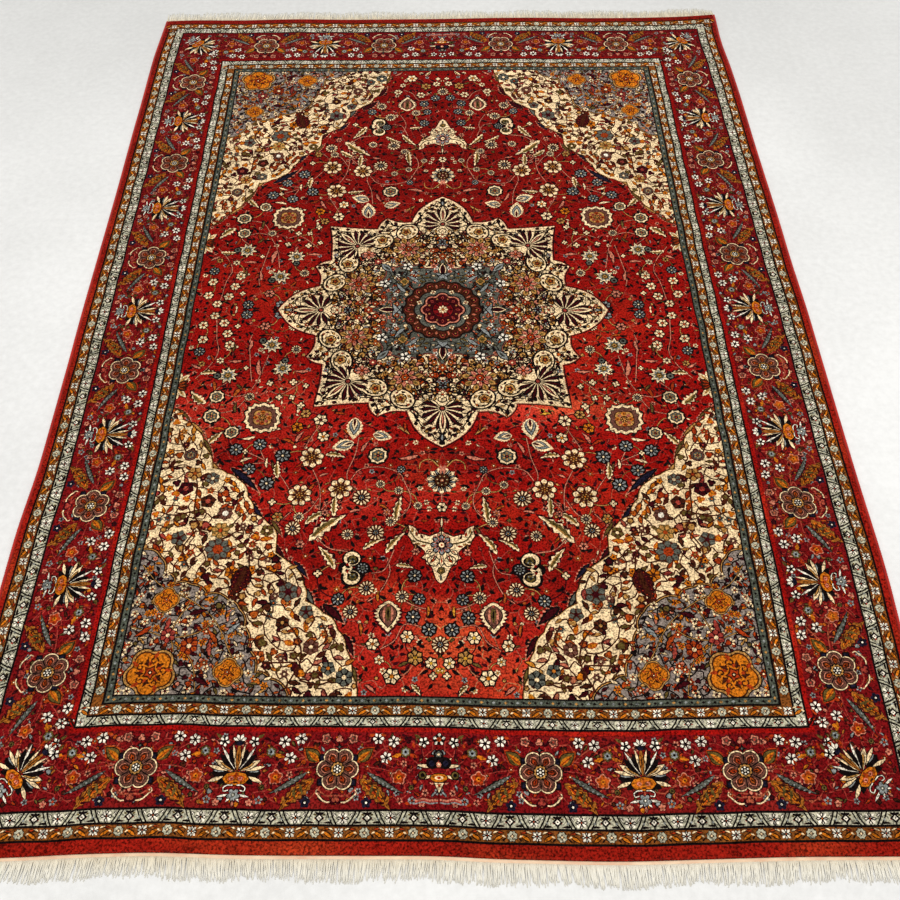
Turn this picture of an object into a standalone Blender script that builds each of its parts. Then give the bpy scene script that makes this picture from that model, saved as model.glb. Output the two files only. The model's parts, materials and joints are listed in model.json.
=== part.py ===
"""A hand-knotted Persian carpet lying flat on the floor, in metres, +Z up.

X runs across the carpet and +Y along it, towards its far end. The carpet is one flat solid with
the slightly wandering outline and the low ripples of a laid carpet. A round overcast selvedge is
bound along each long side, and each end has a narrow flat-woven strip that carries the fringe.
"""

import bpy
import bmesh
import numpy as np

# Driving dimensions
HALF_WIDTH = 1.000  # middle of the carpet to the outer side of a selvedge
HALF_LENGTH = 1.395  # middle of the carpet to the end of its pile
THICKNESS = 0.009  # foundation and pile together
SELVEDGE_DIAMETER = 0.008
GAP = 0.0003  # between pieces that lie against each other
EDGE_ROUNDING = 0.0022

END_STRIP_DEPTH = 0.008  # flat-woven end between the pile and the fringe
END_STRIP_THICKNESS = 0.0036
STRANDS_PER_END = 150
STRAND_WIDTHS = (0.0066, 0.0032)  # at half of its length and at the tip
STRAND_HEIGHTS = (0.0029, 0.0016)
NEAR_FRINGE_LENGTH = 0.031
FAR_FRINGE_LENGTH = 0.044
FRINGE_UNEVENNESS = 0.006
FRINGE_SWAY = 0.005

COLUMNS = 36  # divisions of the carpet across and along
ROWS = 48
SMOOTHING = 0.05  # half width of the stretch over which the hand-measured edges are evened out

BODY_HALF_WIDTH = HALF_WIDTH - SELVEDGE_DIAMETER - GAP

# How far each edge strays from a true rectangle. Columns: place along the edge, shift outwards.
FAR_EDGE = (
    (-1.00, 0.015), (-0.90, 0.021), (-0.75, 0.015), (-0.50, 0.014), (-0.30, 0.010), (0.00, 0.008),
    (0.20, 0.011), (0.40, 0.003), (0.70, -0.001), (0.90, 0.003), (1.00, 0.002),
)
NEAR_EDGE = (
    (-1.00, 0.006), (-0.80, 0.002), (-0.70, -0.004), (-0.55, -0.008), (-0.40, -0.002),
    (0.00, -0.001), (0.10, 0.005), (0.35, 0.010), (0.50, 0.006), (0.70, 0.001), (1.00, 0.000),
)
LEFT_EDGE = (
    (-1.40, 0.004), (-1.00, 0.005), (-0.80, 0.004), (-0.70, 0.005), (-0.52, -0.003), (-0.40, -0.001),
    (-0.20, 0.001), (0.00, 0.005), (0.45, 0.008), (0.70, 0.011), (0.90, 0.014), (1.18, 0.019),
    (1.40, 0.011),
)
RIGHT_EDGE = (
    (-1.40, -0.002), (-1.20, 0.003), (-0.80, 0.011), (-0.60, 0.007), (-0.30, 0.003), (0.00, 0.000),
    (0.20, -0.007), (0.50, -0.012), (0.70, -0.017), (0.95, -0.021), (1.10, -0.026), (1.25, -0.036),
    (1.40, -0.036),
)
# Ripples and lifted places. Columns: x, y, height, reach across, reach along.
RIPPLES = (
    (1.000, 1.400, 0.0090, 0.110, 0.120),
    (-0.780, -1.400, 0.0030, 0.120, 0.100),
    (-0.420, -1.400, 0.0035, 0.110, 0.120),
    (0.080, -1.400, 0.0030, 0.130, 0.090),
    (0.620, -1.400, 0.0035, 0.140, 0.110),
    (-1.000, -0.620, 0.0035, 0.070, 0.160),
    (-1.000, 0.750, 0.0025, 0.060, 0.180),
    (1.000, 0.350, 0.0030, 0.070, 0.170),
    (1.000, -0.750, 0.0035, 0.080, 0.180),
    (-0.550, 1.400, 0.0030, 0.150, 0.080),
    (0.350, 1.400, 0.0025, 0.140, 0.070),
)
LEVEL_BELOW = 0.0006  # a ripple lower than this lies flat on the floor


def edge_shift(edge, place):
    """The edge's shift at each place, averaged over a short stretch so that it bends smoothly."""
    table = np.array(edge)
    nearby = np.linspace(-SMOOTHING, SMOOTHING, 7)
    return np.mean([np.interp(place + step, table[:, 0], table[:, 1]) for step in nearby], axis=0)


def lift(x, y):
    """Height of the underside over the floor: a sum of low round swells, cut off where it is flat."""
    height = np.zeros_like(x)
    for middle_x, middle_y, rise, reach_x, reach_y in RIPPLES:
        height += rise * np.exp(-(((x - middle_x) / reach_x) ** 2) - ((y - middle_y) / reach_y) ** 2)
    return np.maximum(height - LEVEL_BELOW, 0.0)


def carpet_point(across, along, half_width):
    """Place of a point of the carpet. across and along run from -1 to 1, from edge to edge.

    The shift of the side edges fades towards the middle with the cube of the distance, and the
    shift of the ends fades evenly towards the opposite end.
    """
    x_true = across * half_width
    y_true = along * HALF_LENGTH
    left = -edge_shift(LEFT_EDGE, y_true)
    right = edge_shift(RIGHT_EDGE, y_true)
    drift = (left + right) / 2
    spread = (right - left) / 2
    x = x_true + drift * (0.4 + 0.6 * across**2) + spread * across**3
    far = edge_shift(FAR_EDGE, x_true)
    near = -edge_shift(NEAR_EDGE, x_true)
    y = y_true + far * (1 + along) / 2 + near * (1 - along) / 2
    return x, y, lift(x, y)


def material(name, colour, roughness):
    made = bpy.data.materials.new(name)
    made.use_nodes = True
    shader = made.node_tree.nodes["Principled BSDF"]
    shader.inputs["Base Color"].default_value = (*colour, 1.0)
    shader.inputs["Roughness"].default_value = roughness
    shader.inputs["Metallic"].default_value = 0.0
    made.diffuse_color = (*colour, 1.0)
    return made


def carpet_body(collection, finish):
    """A flat grid drawn to the carpet's outline and ripples, thickened downwards."""
    bpy.ops.mesh.primitive_grid_add(x_subdivisions=COLUMNS, y_subdivisions=ROWS, size=2)
    body = bpy.context.object
    body.name = "rug"
    count = len(body.data.vertices)
    points = np.empty(count * 3)
    body.data.vertices.foreach_get("co", points)
    points = points.reshape(count, 3)
    x, y, height = carpet_point(points[:, 0], points[:, 1], BODY_HALF_WIDTH)
    body.data.vertices.foreach_set("co", np.column_stack((x, y, height + THICKNESS)).ravel())
    shell = body.modifiers.new("thickness", "SOLIDIFY")
    shell.thickness = THICKNESS
    shell.offset = -1
    rounding = body.modifiers.new("soft_edge", "BEVEL")
    rounding.width = EDGE_ROUNDING
    rounding.segments = 2
    rounding.limit_method = "ANGLE"
    rounding.angle_limit = np.radians(60)
    own(body, collection, finish)
    return body


def selvedge(name, side, collection, finish):
    """A round overcast cord along one long side, on the carpet's own rows so that the gap is even."""
    along = np.linspace(-1, 1, ROWS + 1)
    x, y, height = carpet_point(np.full_like(along, side), along, BODY_HALF_WIDTH)
    radius = SELVEDGE_DIAMETER / 2
    path = bpy.data.curves.new(name, "CURVE")
    path.dimensions = "3D"
    path.bevel_depth = radius
    path.bevel_resolution = 2
    path.use_fill_caps = True
    spline = path.splines.new("POLY")
    spline.points.add(len(along) - 1)
    middle_x = x + side * (radius + GAP + side_slope(x, y) * radius)
    places = np.column_stack((middle_x, y, height + radius, np.ones_like(x)))
    spline.points.foreach_set("co", places.ravel())
    cord = bpy.data.objects.new(name, path)
    own(cord, collection, finish)
    return cord


def side_slope(x, y):
    """Extra clearance for a side that runs at a slight angle: the square of its steepest slope."""
    return float(np.max((np.diff(x) / np.diff(y)) ** 2))


def fringe(name, side, length, seed, collection, finish):
    """A flat-woven strip along one end with its strands drawn out of the outer face.

    The strip is a box cut into twice as many segments as there are strands. Every second outer
    face is drawn out twice to make a strand of four sides that lies on the floor.
    """
    segments = 2 * STRANDS_PER_END + 1
    build = bmesh.new()
    bmesh.ops.create_cube(build, size=2)
    long_edges = [edge for edge in build.edges if abs(edge.verts[0].co.x - edge.verts[1].co.x) > 1]
    bmesh.ops.subdivide_edges(build, edges=long_edges, cuts=segments - 1)
    outer = [face for face in build.faces if face.normal.y * side > 0.9]
    outer.sort(key=lambda face: face.calc_center_median().x)
    strands = outer[1::2]

    columns = np.linspace(-1, 1, COLUMNS + 1)
    end_x, end_y, end_lift = carpet_point(columns, np.full_like(columns, side), BODY_HALF_WIDTH)
    reach = SELVEDGE_DIAMETER + GAP
    end_x = np.concatenate(([end_x[0] - reach], end_x, [end_x[-1] + reach]))
    end_y = np.concatenate(([end_y[0]], end_y, [end_y[-1]]))
    end_lift = np.concatenate(([end_lift[0]], end_lift, [end_lift[-1]]))
    for vertex in build.verts:
        share, is_outer, is_top = vertex.co.x, vertex.co.y * side > 0, vertex.co.z > 0
        x = end_x[0] + (share + 1) / 2 * (end_x[-1] - end_x[0])
        y = np.interp(x, end_x, end_y) + side * (GAP + END_STRIP_DEPTH * is_outer)
        rise = np.interp(x, end_x, end_lift) * (0.5 if is_outer else 1.0)
        vertex.co = (x, y, rise + END_STRIP_THICKNESS * is_top)

    chance = np.random.default_rng(seed)
    unevenness = chance.uniform(-1, 1, STRANDS_PER_END)
    jitter = chance.uniform(-1, 1, STRANDS_PER_END)
    rings = len(STRAND_WIDTHS)
    for number, face in enumerate(strands):
        root = face.calc_center_median()
        sway = FRINGE_SWAY * np.sin(root.x * 9 + side) + 0.25 * FRINGE_SWAY * jitter[number]
        full = length + FRINGE_UNEVENNESS * unevenness[number]
        for ring in range(rings):
            share = (ring + 1) / rings
            drawn = bmesh.ops.extrude_discrete_faces(build, faces=[face])
            face = drawn["faces"][0]
            middle = face.calc_center_median()
            level = (root.z - END_STRIP_THICKNESS / 2) * (1 - share)
            for vertex in face.verts:
                right = 1 if vertex.co.x > middle.x else -1
                top = vertex.co.z > middle.z
                vertex.co.x = root.x + sway * share**2 + right * STRAND_WIDTHS[ring] / 2
                vertex.co.y = root.y + side * full * share
                vertex.co.z = level + STRAND_HEIGHTS[ring] * top
    bmesh.ops.recalc_face_normals(build, faces=build.faces)
    mesh = bpy.data.meshes.new(name)
    build.to_mesh(mesh)
    build.free()
    made = bpy.data.objects.new(name, mesh)
    own(made, collection, finish)
    return made


def own(piece, collection, finish):
    """Puts a piece into the carpet's collection with its one material."""
    for other in list(piece.users_collection):
        other.objects.unlink(piece)
    collection.objects.link(piece)
    piece.data.materials.append(finish)


def centre_on_floor(pieces):
    """Moves the pieces together so that their common box is centred on the origin."""
    bpy.context.view_layer.update()
    graph = bpy.context.evaluated_depsgraph_get()
    corners = []
    for piece in pieces:
        evaluated = piece.evaluated_get(graph)
        mesh = evaluated.to_mesh()
        points = np.empty(len(mesh.vertices) * 3)
        mesh.vertices.foreach_get("co", points)
        corners.append(points.reshape(-1, 3))
        evaluated.to_mesh_clear()
    points = np.concatenate(corners)
    middle = (points.min(axis=0) + points.max(axis=0)) / 2
    for piece in pieces:
        piece.location = (-middle[0], -middle[1], 0)


def main():
    for thing in list(bpy.data.objects):
        bpy.data.objects.remove(thing, do_unlink=True)
    collection = bpy.data.collections.new("persian_rug")
    bpy.context.scene.collection.children.link(collection)

    pile = material("wool_pile", (0.36, 0.045, 0.03), 0.85)
    binding = material("selvedge_wool", (0.42, 0.03, 0.02), 0.8)
    cotton = material("fringe_cotton", (0.76, 0.71, 0.60), 0.9)
    pieces = [
        carpet_body(collection, pile),
        selvedge("selvedge_left", -1, collection, binding),
        selvedge("selvedge_right", 1, collection, binding),
        fringe("fringe_near", -1, NEAR_FRINGE_LENGTH, 11, collection, cotton),
        fringe("fringe_far", 1, FAR_FRINGE_LENGTH, 12, collection, cotton),
    ]
    centre_on_floor(pieces)


main()
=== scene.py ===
import bpy
import json
import numpy as np
from mathutils import Matrix, Vector
from mathutils.bvhtree import BVHTree
from mathutils.geometry import delaunay_2d_cdt

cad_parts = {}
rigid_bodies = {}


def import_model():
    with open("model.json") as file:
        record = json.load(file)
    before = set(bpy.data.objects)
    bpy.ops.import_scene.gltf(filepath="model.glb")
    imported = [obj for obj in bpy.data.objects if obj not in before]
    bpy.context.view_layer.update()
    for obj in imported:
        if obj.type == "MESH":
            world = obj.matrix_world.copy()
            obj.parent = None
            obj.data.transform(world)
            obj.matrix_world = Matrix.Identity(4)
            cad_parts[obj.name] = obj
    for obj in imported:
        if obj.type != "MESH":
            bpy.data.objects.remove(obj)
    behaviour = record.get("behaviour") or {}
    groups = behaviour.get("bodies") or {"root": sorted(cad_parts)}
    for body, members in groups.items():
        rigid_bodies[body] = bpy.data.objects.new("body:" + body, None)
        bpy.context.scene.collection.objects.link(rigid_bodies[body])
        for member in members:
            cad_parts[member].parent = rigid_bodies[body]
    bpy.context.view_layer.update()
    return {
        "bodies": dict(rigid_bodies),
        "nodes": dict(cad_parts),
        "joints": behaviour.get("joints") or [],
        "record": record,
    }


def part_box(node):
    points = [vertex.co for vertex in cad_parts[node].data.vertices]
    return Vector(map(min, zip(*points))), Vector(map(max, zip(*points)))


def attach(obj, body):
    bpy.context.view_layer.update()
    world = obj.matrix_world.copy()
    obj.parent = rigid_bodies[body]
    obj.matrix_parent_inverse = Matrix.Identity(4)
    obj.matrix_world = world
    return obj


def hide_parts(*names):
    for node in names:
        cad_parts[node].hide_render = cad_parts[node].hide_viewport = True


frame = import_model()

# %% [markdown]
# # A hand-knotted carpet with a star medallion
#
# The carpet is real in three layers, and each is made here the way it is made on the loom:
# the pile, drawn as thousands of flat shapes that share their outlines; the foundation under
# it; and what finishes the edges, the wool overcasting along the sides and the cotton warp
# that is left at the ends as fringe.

# %% [markdown]
# ## How the carpet lies
#
# A carpet of this age isn't a true rectangle: its sides wander by a centimetre or two, since the
# warps were strung and the weft beaten by hand, and it lies in low ripples. The same tables that
# shaped the solids bend everything here, so that the pile, the bindings and the fringe agree.

# %% Edges and ripples
HALF_WIDTH, HALF_LENGTH, THICKNESS = 1.000, 1.395, 0.009
SELVEDGE, GAP, SMOOTHING = 0.008, 0.0003, 0.05
BODY = HALF_WIDTH - SELVEDGE - GAP
FAR_EDGE = np.array((
    (-1.00, 0.015), (-0.90, 0.021), (-0.75, 0.015), (-0.50, 0.014), (-0.30, 0.010), (0.00, 0.008),
    (0.20, 0.011), (0.40, 0.003), (0.70, -0.001), (0.90, 0.003), (1.00, 0.002)))
NEAR_EDGE = np.array((
    (-1.00, 0.006), (-0.80, 0.002), (-0.70, -0.004), (-0.55, -0.008), (-0.40, -0.002),
    (0.00, -0.001), (0.10, 0.005), (0.35, 0.010), (0.50, 0.006), (0.70, 0.001), (1.00, 0.000)))
LEFT_EDGE = np.array((
    (-1.40, 0.004), (-1.00, 0.005), (-0.80, 0.004), (-0.70, 0.005), (-0.52, -0.003), (-0.40, -0.001),
    (-0.20, 0.001), (0.00, 0.005), (0.45, 0.008), (0.70, 0.011), (0.90, 0.014), (1.18, 0.019),
    (1.40, 0.011)))
RIGHT_EDGE = np.array((
    (-1.40, -0.002), (-1.20, 0.003), (-0.80, 0.011), (-0.60, 0.007), (-0.30, 0.003), (0.00, 0.000),
    (0.20, -0.007), (0.50, -0.012), (0.70, -0.017), (0.95, -0.021), (1.10, -0.026), (1.25, -0.036),
    (1.40, -0.036)))
RIPPLES = (  # columns: x, y, height, reach across, reach along
    (1.000, 1.400, 0.0090, 0.110, 0.120), (-0.780, -1.400, 0.0030, 0.120, 0.100),
    (-0.420, -1.400, 0.0035, 0.110, 0.120), (0.080, -1.400, 0.0030, 0.130, 0.090),
    (0.620, -1.400, 0.0035, 0.140, 0.110), (-1.000, -0.620, 0.0035, 0.070, 0.160),
    (-1.000, 0.750, 0.0025, 0.060, 0.180), (1.000, 0.350, 0.0030, 0.070, 0.170),
    (1.000, -0.750, 0.0035, 0.080, 0.180), (-0.550, 1.400, 0.0030, 0.150, 0.080),
    (0.350, 1.400, 0.0025, 0.140, 0.070))
LEVEL_BELOW = 0.0006


def edge_shift(table, place):
    """The edge's shift outwards: the table read at seven places near by, and averaged."""
    steps = np.linspace(-SMOOTHING, SMOOTHING, 7)
    return np.mean([np.interp(place + s, table[:, 0], table[:, 1]) for s in steps], axis=0)


def lift(x, y):
    """Height of the underside: the sum of round swells h exp(-(dx/rx)^2 - (dy/ry)^2), less a
    little, and no lower than the floor."""
    total = np.zeros_like(x)
    for mx, my, rise, rx, ry in RIPPLES:
        total += rise * np.exp(-(((x - mx) / rx) ** 2) - ((y - my) / ry) ** 2)
    return np.maximum(total - LEVEL_BELOW, 0.0)


def carpet_point(across, along):
    """Where a point of the carpet lies, from its shares -1 to 1 across and along. The sides'
    shifts fade with the cube of the distance from the middle, the ends' fade evenly."""
    x_true, y_true = across * BODY, along * HALF_LENGTH
    left, right = -edge_shift(LEFT_EDGE, y_true), edge_shift(RIGHT_EDGE, y_true)
    drift, spread = (left + right) / 2, (right - left) / 2
    x = x_true + drift * (0.4 + 0.6 * across**2) + spread * across**3
    far, near = edge_shift(FAR_EDGE, x_true), -edge_shift(NEAR_EDGE, x_true)
    y = y_true + far * (1 + along) / 2 + near * (1 - along) / 2
    return x, y, lift(x, y)


rows, columns = np.meshgrid(np.linspace(-1, 1, 49), np.linspace(-1, 1, 37), indexing="ij")
own_x, own_y, _ = carpet_point(columns, rows)
low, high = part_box("rug")
MOVE = np.array(((low[0] + high[0] - own_x.min() - own_x.max()) / 2,
                 (low[1] + high[1] - own_y.min() - own_y.max()) / 2))
print("carpet is moved by", MOVE.round(4), "m; pile is", round(high[1] - low[1], 3), "m long")

# %% [markdown]
# ## The drawing, in outlines
#
# A weaver reads a cartoon, a drawing on squared paper in which a square is a knot. The cartoon of
# this carpet covers one quarter only, since the other three mirror it. Here it is a list of
# outlines in millimetres, measured from the carpet's middle, across (X) and along (Y), and each
# is drawn over those before it. A flower is put together from a few formulas: lobes, stars,
# petals and leaves. None follows a line of a picture, only the kind, place and size of a motif.

# %% Closed outlines
TURN = 2 * np.pi


def oval(wide, tall=None, count=12):
    """Ellipse: x = wide cos a, y = tall sin a."""
    a = np.arange(count) * TURN / count
    return np.column_stack((wide * np.cos(a), (wide if tall is None else tall) * np.sin(a)))


def dot(radius, count=6, x=0.0, y=0.0):
    """A small round spot about (x, y)."""
    return oval(radius, count=count) + (x, y)


def lobed(number, radius, depth=0.3, per=3, sharp=0.8, first=0.0):
    """Flower outline, first petal up: r = radius (1 - depth + depth |cos(number a / 2)|^sharp)."""
    a = np.arange(number * per) * TURN / (number * per)
    r = radius * (1 - depth + depth * np.abs(np.cos(number * a / 2)) ** sharp)
    return np.column_stack((r * np.sin(a + first), r * np.cos(a + first)))


def star(number, radius, inner, first=0.0):
    """Star outline: the radius goes to and fro between its two values."""
    a = np.arange(2 * number) * TURN / (2 * number) + first
    r = np.where(np.arange(2 * number) % 2 == 0, radius, inner)
    return np.column_stack((r * np.sin(a), r * np.cos(a)))


def pointed(number, radius, depth, per, first=0.0):
    """Outline with sharp lobes, the first one up: r = radius (1 - depth |sin(number a / 2)|^0.7)."""
    a = np.arange(number * per) * TURN / (number * per)
    r = radius * (1 - depth * np.abs(np.sin(number * a / 2)) ** 0.7)
    return np.column_stack((r * np.sin(a + first), r * np.cos(a + first)))


def petal(start, end, width, belly=1.2, per=3):
    """Teardrop up the Y axis: half width = width/2 sin(pi s^belly), s from base to tip."""
    s = np.arange(per + 1) / per
    half = width / 2 * np.sin(np.pi * s**belly)
    y = start + (end - start) * s
    right = np.column_stack((half, y))
    return np.concatenate((right, (right * (-1, 1))[-2:0:-1]))


def leaf(length, width, bend=0.3, per=2, teeth=0, saw=0.35):
    """Bent leaf from the origin up Y. Spine: x = bend length s^2. The half width is
    width/2 sin(pi s^0.8), nicked back at each tooth by the share saw."""
    n = max(teeth * 2, per * 2)
    s = np.arange(n + 1) / n
    half = width / 2 * np.sin(np.pi * s**0.8)
    if teeth:
        half = half * np.where(np.arange(n + 1) % 2 == 1, 1.0, 1.0 - saw)
    x, y = bend * length * s**2, length * s
    slope = 2 * bend * s
    norm = np.sqrt(1 + slope**2)
    side = np.column_stack((half / norm, -half * slope / norm))
    spine = np.column_stack((x, y))
    return np.concatenate((spine + side, (spine - side)[-2:0:-1]))


print("a flower of eight lobes:", len(lobed(8, 10)), "points; a toothed leaf:",
    len(leaf(20, 6, teeth=5)))

# %% [markdown]
# Stems, scrolls and scalloped edges are lines first. A ribbon gives a line its width, and a
# form grows outwards along its own normals to make the thin rims that every motif has: on the
# loom a single row of knots in a second dye keeps two colours apart.

# %% Lines, ribbons and rims
def curve(points, count=20):
    """A smooth line through a few points: Catmull-Rom, each span a cubic in its own share t."""
    p = np.asarray(points, float)
    p = np.concatenate((2 * p[:1] - p[1:2], p, 2 * p[-1:] - p[-2:-1]))
    u = np.linspace(0, len(p) - 3, count)
    k = np.minimum(u.astype(int), len(p) - 4)
    t = (u - k)[:, None]
    a, b, c, d = p[k], p[k + 1], p[k + 2], p[k + 3]
    square, cube = 2 * a - 5 * b + 4 * c - d, 3 * b - a - 3 * c + d
    return 0.5 * (2 * b + (c - a) * t + square * t**2 + cube * t**3)


def ribbon(line, width, taper=0.0):
    """A band along a line: the line moved both ways along its normal. taper narrows the end."""
    line = np.asarray(line, float)
    along = np.gradient(line, axis=0)
    along /= np.linalg.norm(along, axis=1)[:, None] + 1e-12
    share = np.linspace(0, 1, len(line))[:, None]
    side = np.column_stack((-along[:, 1], along[:, 0])) * width / 2 * (1 - taper * share)
    return np.concatenate((line + side, (line - side)[::-1]))


def stem(points, width, count, taper=0.0):
    """A ribbon along the smooth curve through a few points."""
    return ribbon(curve(points, count), width, taper)


def spiral(radius, turns, tight, count):
    """A scroll that winds in: the radius falls evenly to tight x radius."""
    s = np.linspace(0, 1, count)
    r = radius * (1 - (1 - tight) * s)
    a = turns * TURN * s
    return np.column_stack((r * np.cos(a), r * np.sin(a)))


def cusps(points, bulges, per=5):
    """A scalloped line through cusp points. Span k bows to its left by bulges[k] of its length."""
    p = np.asarray(points, float)
    s = np.arange(per) / per
    d = p[1:] - p[:-1]
    left = np.column_stack((-d[:, 1], d[:, 0]))
    bow = np.asarray(bulges, float)[:, None] * np.sin(np.pi * s)[None, :]
    line = p[:-1, None] + d[:, None] * s[None, :, None] + left[:, None] * bow[:, :, None]
    return np.concatenate((line.reshape(-1, 2), p[-1:]))


def grown(outline, by):
    """The outline moved outwards along its own normals."""
    p = np.asarray(outline, float)
    d = np.roll(p, -1, 0) - np.roll(p, 1, 0)
    d /= np.linalg.norm(d, axis=1)[:, None] + 1e-12
    area = np.sum(p[:, 0] * np.roll(p[:, 1], -1) - np.roll(p[:, 0], -1) * p[:, 1])
    return p + np.column_stack((d[:, 1], -d[:, 0])) * by * np.sign(area)


print("a stem through three points:", len(stem(((0, 0), (10, 5), (20, 0)), 2, 20)), "points")

# %% [markdown]
# A motif is a list of layers, each a dye with an outline, the lowest first. The weaver repeats
# a motif by heart, turned, mirrored, larger or smaller, and these functions do the same.

# %% Motifs and how they are set
def rimmed(layers, by):
    """The same layers with the lowest, which is a motif's dark back, grown by so many mm."""
    return [(layers[0][0], grown(layers[0][1], by))] + layers[1:]


def place(layers, x=0.0, y=0.0, turn=0.0, size=1.0, flip=1):
    """A copy of the motif, mirrored in X if flip is -1, then sized, turned and moved."""
    a = np.radians(turn)
    spin = np.array(((np.cos(a), np.sin(a)), (-np.sin(a), np.cos(a)))) * size
    return [(dye, (outline * (flip, 1)) @ spin + (x, y)) for dye, outline in layers]


def around(number, layers, radius=0.0, first=0.0):
    """Copies of the motif set round a ring, each turned to point outwards."""
    out = []
    for k in range(number):
        turn = first - 360.0 * k / number
        out += place(place(layers, 0, radius), turn=turn)
    return out


def mirrored(layers):
    """The motif and its mirror image across the Y axis."""
    return layers + place(layers, flip=-1)


def polar(radius, degrees):
    """A place by radius and degrees: x = r cos a, y = r sin a."""
    a = np.radians(degrees)
    return radius * np.cos(a), radius * np.sin(a)


def heading_of(way):
    """The turn in degrees that points a motif's +Y along the way."""
    return np.degrees(np.arctan2(way[1], way[0])) - 90


def facing(radius, degrees, tilt=0.0):
    """For place: a spot by radius and degrees, and the turn that points a motif outwards there."""
    return (*polar(radius, degrees), degrees - 90 + tilt)


def inside(points, outline):
    """Which points lie inside an outline: a ray to the right crosses it an odd number of times."""
    x, y = points[:, 0][:, None], points[:, 1][:, None]
    p, q = outline, np.roll(outline, -1, 0)
    spans = (p[:, 1] > y) != (q[:, 1] > y)
    rise = np.where(q[:, 1] == p[:, 1], 1e-12, q[:, 1] - p[:, 1])
    cross = p[:, 0] + (y - p[:, 1]) * (q[:, 0] - p[:, 0]) / rise
    return np.sum(spans & (x < cross), axis=1) % 2 == 1


def outside(points, *outlines):
    """The points that lie in none of the outlines."""
    return points[~np.any([inside(points, outline) for outline in outlines], axis=0)]


def pairs(text):
    """Dye names in pairs, written as words with a comma after each pair."""
    return tuple(tuple(pair.split()) for pair in text.split(", "))


def listed(keys, table):
    """The rows of a table one place at a time: what leads the row, then each place in turn."""
    return [(*row[:keys], *place) for row in table for place in row[keys:]]


print("a ring of eight petals:", len(around(8, [("ivory", petal(1, 10, 4))])), "layers")

# %% [markdown]
# ## Foliage
#
# The ground between the large motifs is never empty. Fine stems fork through it and carry leaves
# and small flowers at even distances. Seeded places on a shaken grid are joined here by the
# shortest tree, so that the stems branch and hardly ever cross, as in a drawn arabesque.

# %% Foliage
def leaflet(size, side, dye, rim, form):
    """A leaf or bud with a rim in a second dye: plain, toothed, three-lobed or a round bud."""
    if form < 0.45:
        return [(rim, leaf(size, size * 0.5, 0.3 * side)),
            (dye, leaf(size * 0.78, size * 0.28, 0.3 * side) + (0, size * 0.1))]
    if form < 0.68:
        return [(rim, leaf(size * 1.1, size * 0.6, 0.2 * side, 3, 3, 0.3)),
            (dye, leaf(size * 0.84, size * 0.3, 0.2 * side) + (0, size * 0.1))]
    if form < 0.88:
        return [(rim, lobed(3, size * 0.5, 0.42, 4) + (0, size * 0.5)),
            (dye, lobed(3, size * 0.34, 0.42) + (0, size * 0.5))]
    return [(rim, lobed(5, size * 0.46, 0.3, 2) + (0, size * 0.5)),
        (dye, dot(size * 0.25, 5, 0, size * 0.5))]


LONG_STEM = 2.2  # stems this many times longer than the usual one are left out


def branches(spots, first):
    """Parent of every spot in the shortest tree that joins them all: the spot nearest to the
    tree is joined next, to its nearest neighbour in the tree."""
    near = np.hypot(*(spots - spots[first]).T)
    parent = np.full(len(spots), first)
    out, order = np.ones(len(spots), bool), [first]
    out[first] = False
    while out.any():
        k = np.flatnonzero(out)[np.argmin(near[out])]
        out[k] = False
        order.append(k)
        d = np.hypot(*(spots - spots[k]).T)
        closer = out & (d < near)
        near[closer], parent[closer] = d[closer], k
    return parent, order


def foliage(spots, colour, leaves, flowers, seed, size, width, bloom, first=0, count=5):
    """Branching foliage: a stem to every spot from its parent in the tree, and on it a leaf or a
    small flower. Each stem is a cubic that leaves its parent the way the parent's own stem ran:
    p(t) = p (2t^3 - 3t^2 + 1) + m (t^3 - 2t^2 + t) + c (3t^2 - 2t^3) + n (t^3 - t^2)."""
    chance = np.random.default_rng(seed)
    spots = np.asarray(spots, float)
    parent, order = branches(spots, first)
    usual = np.median(np.hypot(*(spots - spots[parent]).T))
    children = np.bincount(parent, minlength=len(spots))
    heading = {first: np.array((0.0, 1.0)) * usual}
    t = np.linspace(0, 1, count)[:, None]
    stems, heads = [], []
    for k in order[1:]:
        p, c = spots[parent[k]], spots[k]
        way = c - p
        m = heading[parent[k]] * 0.75
        n = way * 1.1 - m * 0.35
        heading[k] = n / np.hypot(*n) * usual
        if np.hypot(*way) > LONG_STEM * usual:
            continue
        stems += [(colour, ribbon(p * (2 * t**3 - 3 * t**2 + 1) + m * (t**3 - 2 * t**2 + t)
            + c * (3 * t**2 - 2 * t**3) + n * (t**3 - t**2), width))]
        turn = heading_of(n)
        dye, rim = leaves[chance.integers(0, len(leaves))]
        if flowers and chance.random() < bloom:
            heads += place(flowers[chance.integers(0, len(flowers))], *c, turn)
            continue
        side = chance.choice((-1, 1))
        long = size * chance.uniform(0.8, 1.2)
        if children[k]:
            heads += place(leaflet(long * 0.9, side, dye, rim, chance.random()), *c, turn
                + side * chance.uniform(60, 95))
        else:
            heads += place(leaflet(long, side, dye, rim, chance.random()),
                *(c - n / np.hypot(*n) * long * 0.35), turn)
    return stems + heads


PAST = 20  # how far the drawing runs past the carpet's axes, so that the quarters meet


def rect(x0, y0, x1, y1):
    """A rectangle from its lower left and upper right corners."""
    return np.array(((x0, y0), (x1, y0), (x1, y1), (x0, y1)), float)


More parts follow.
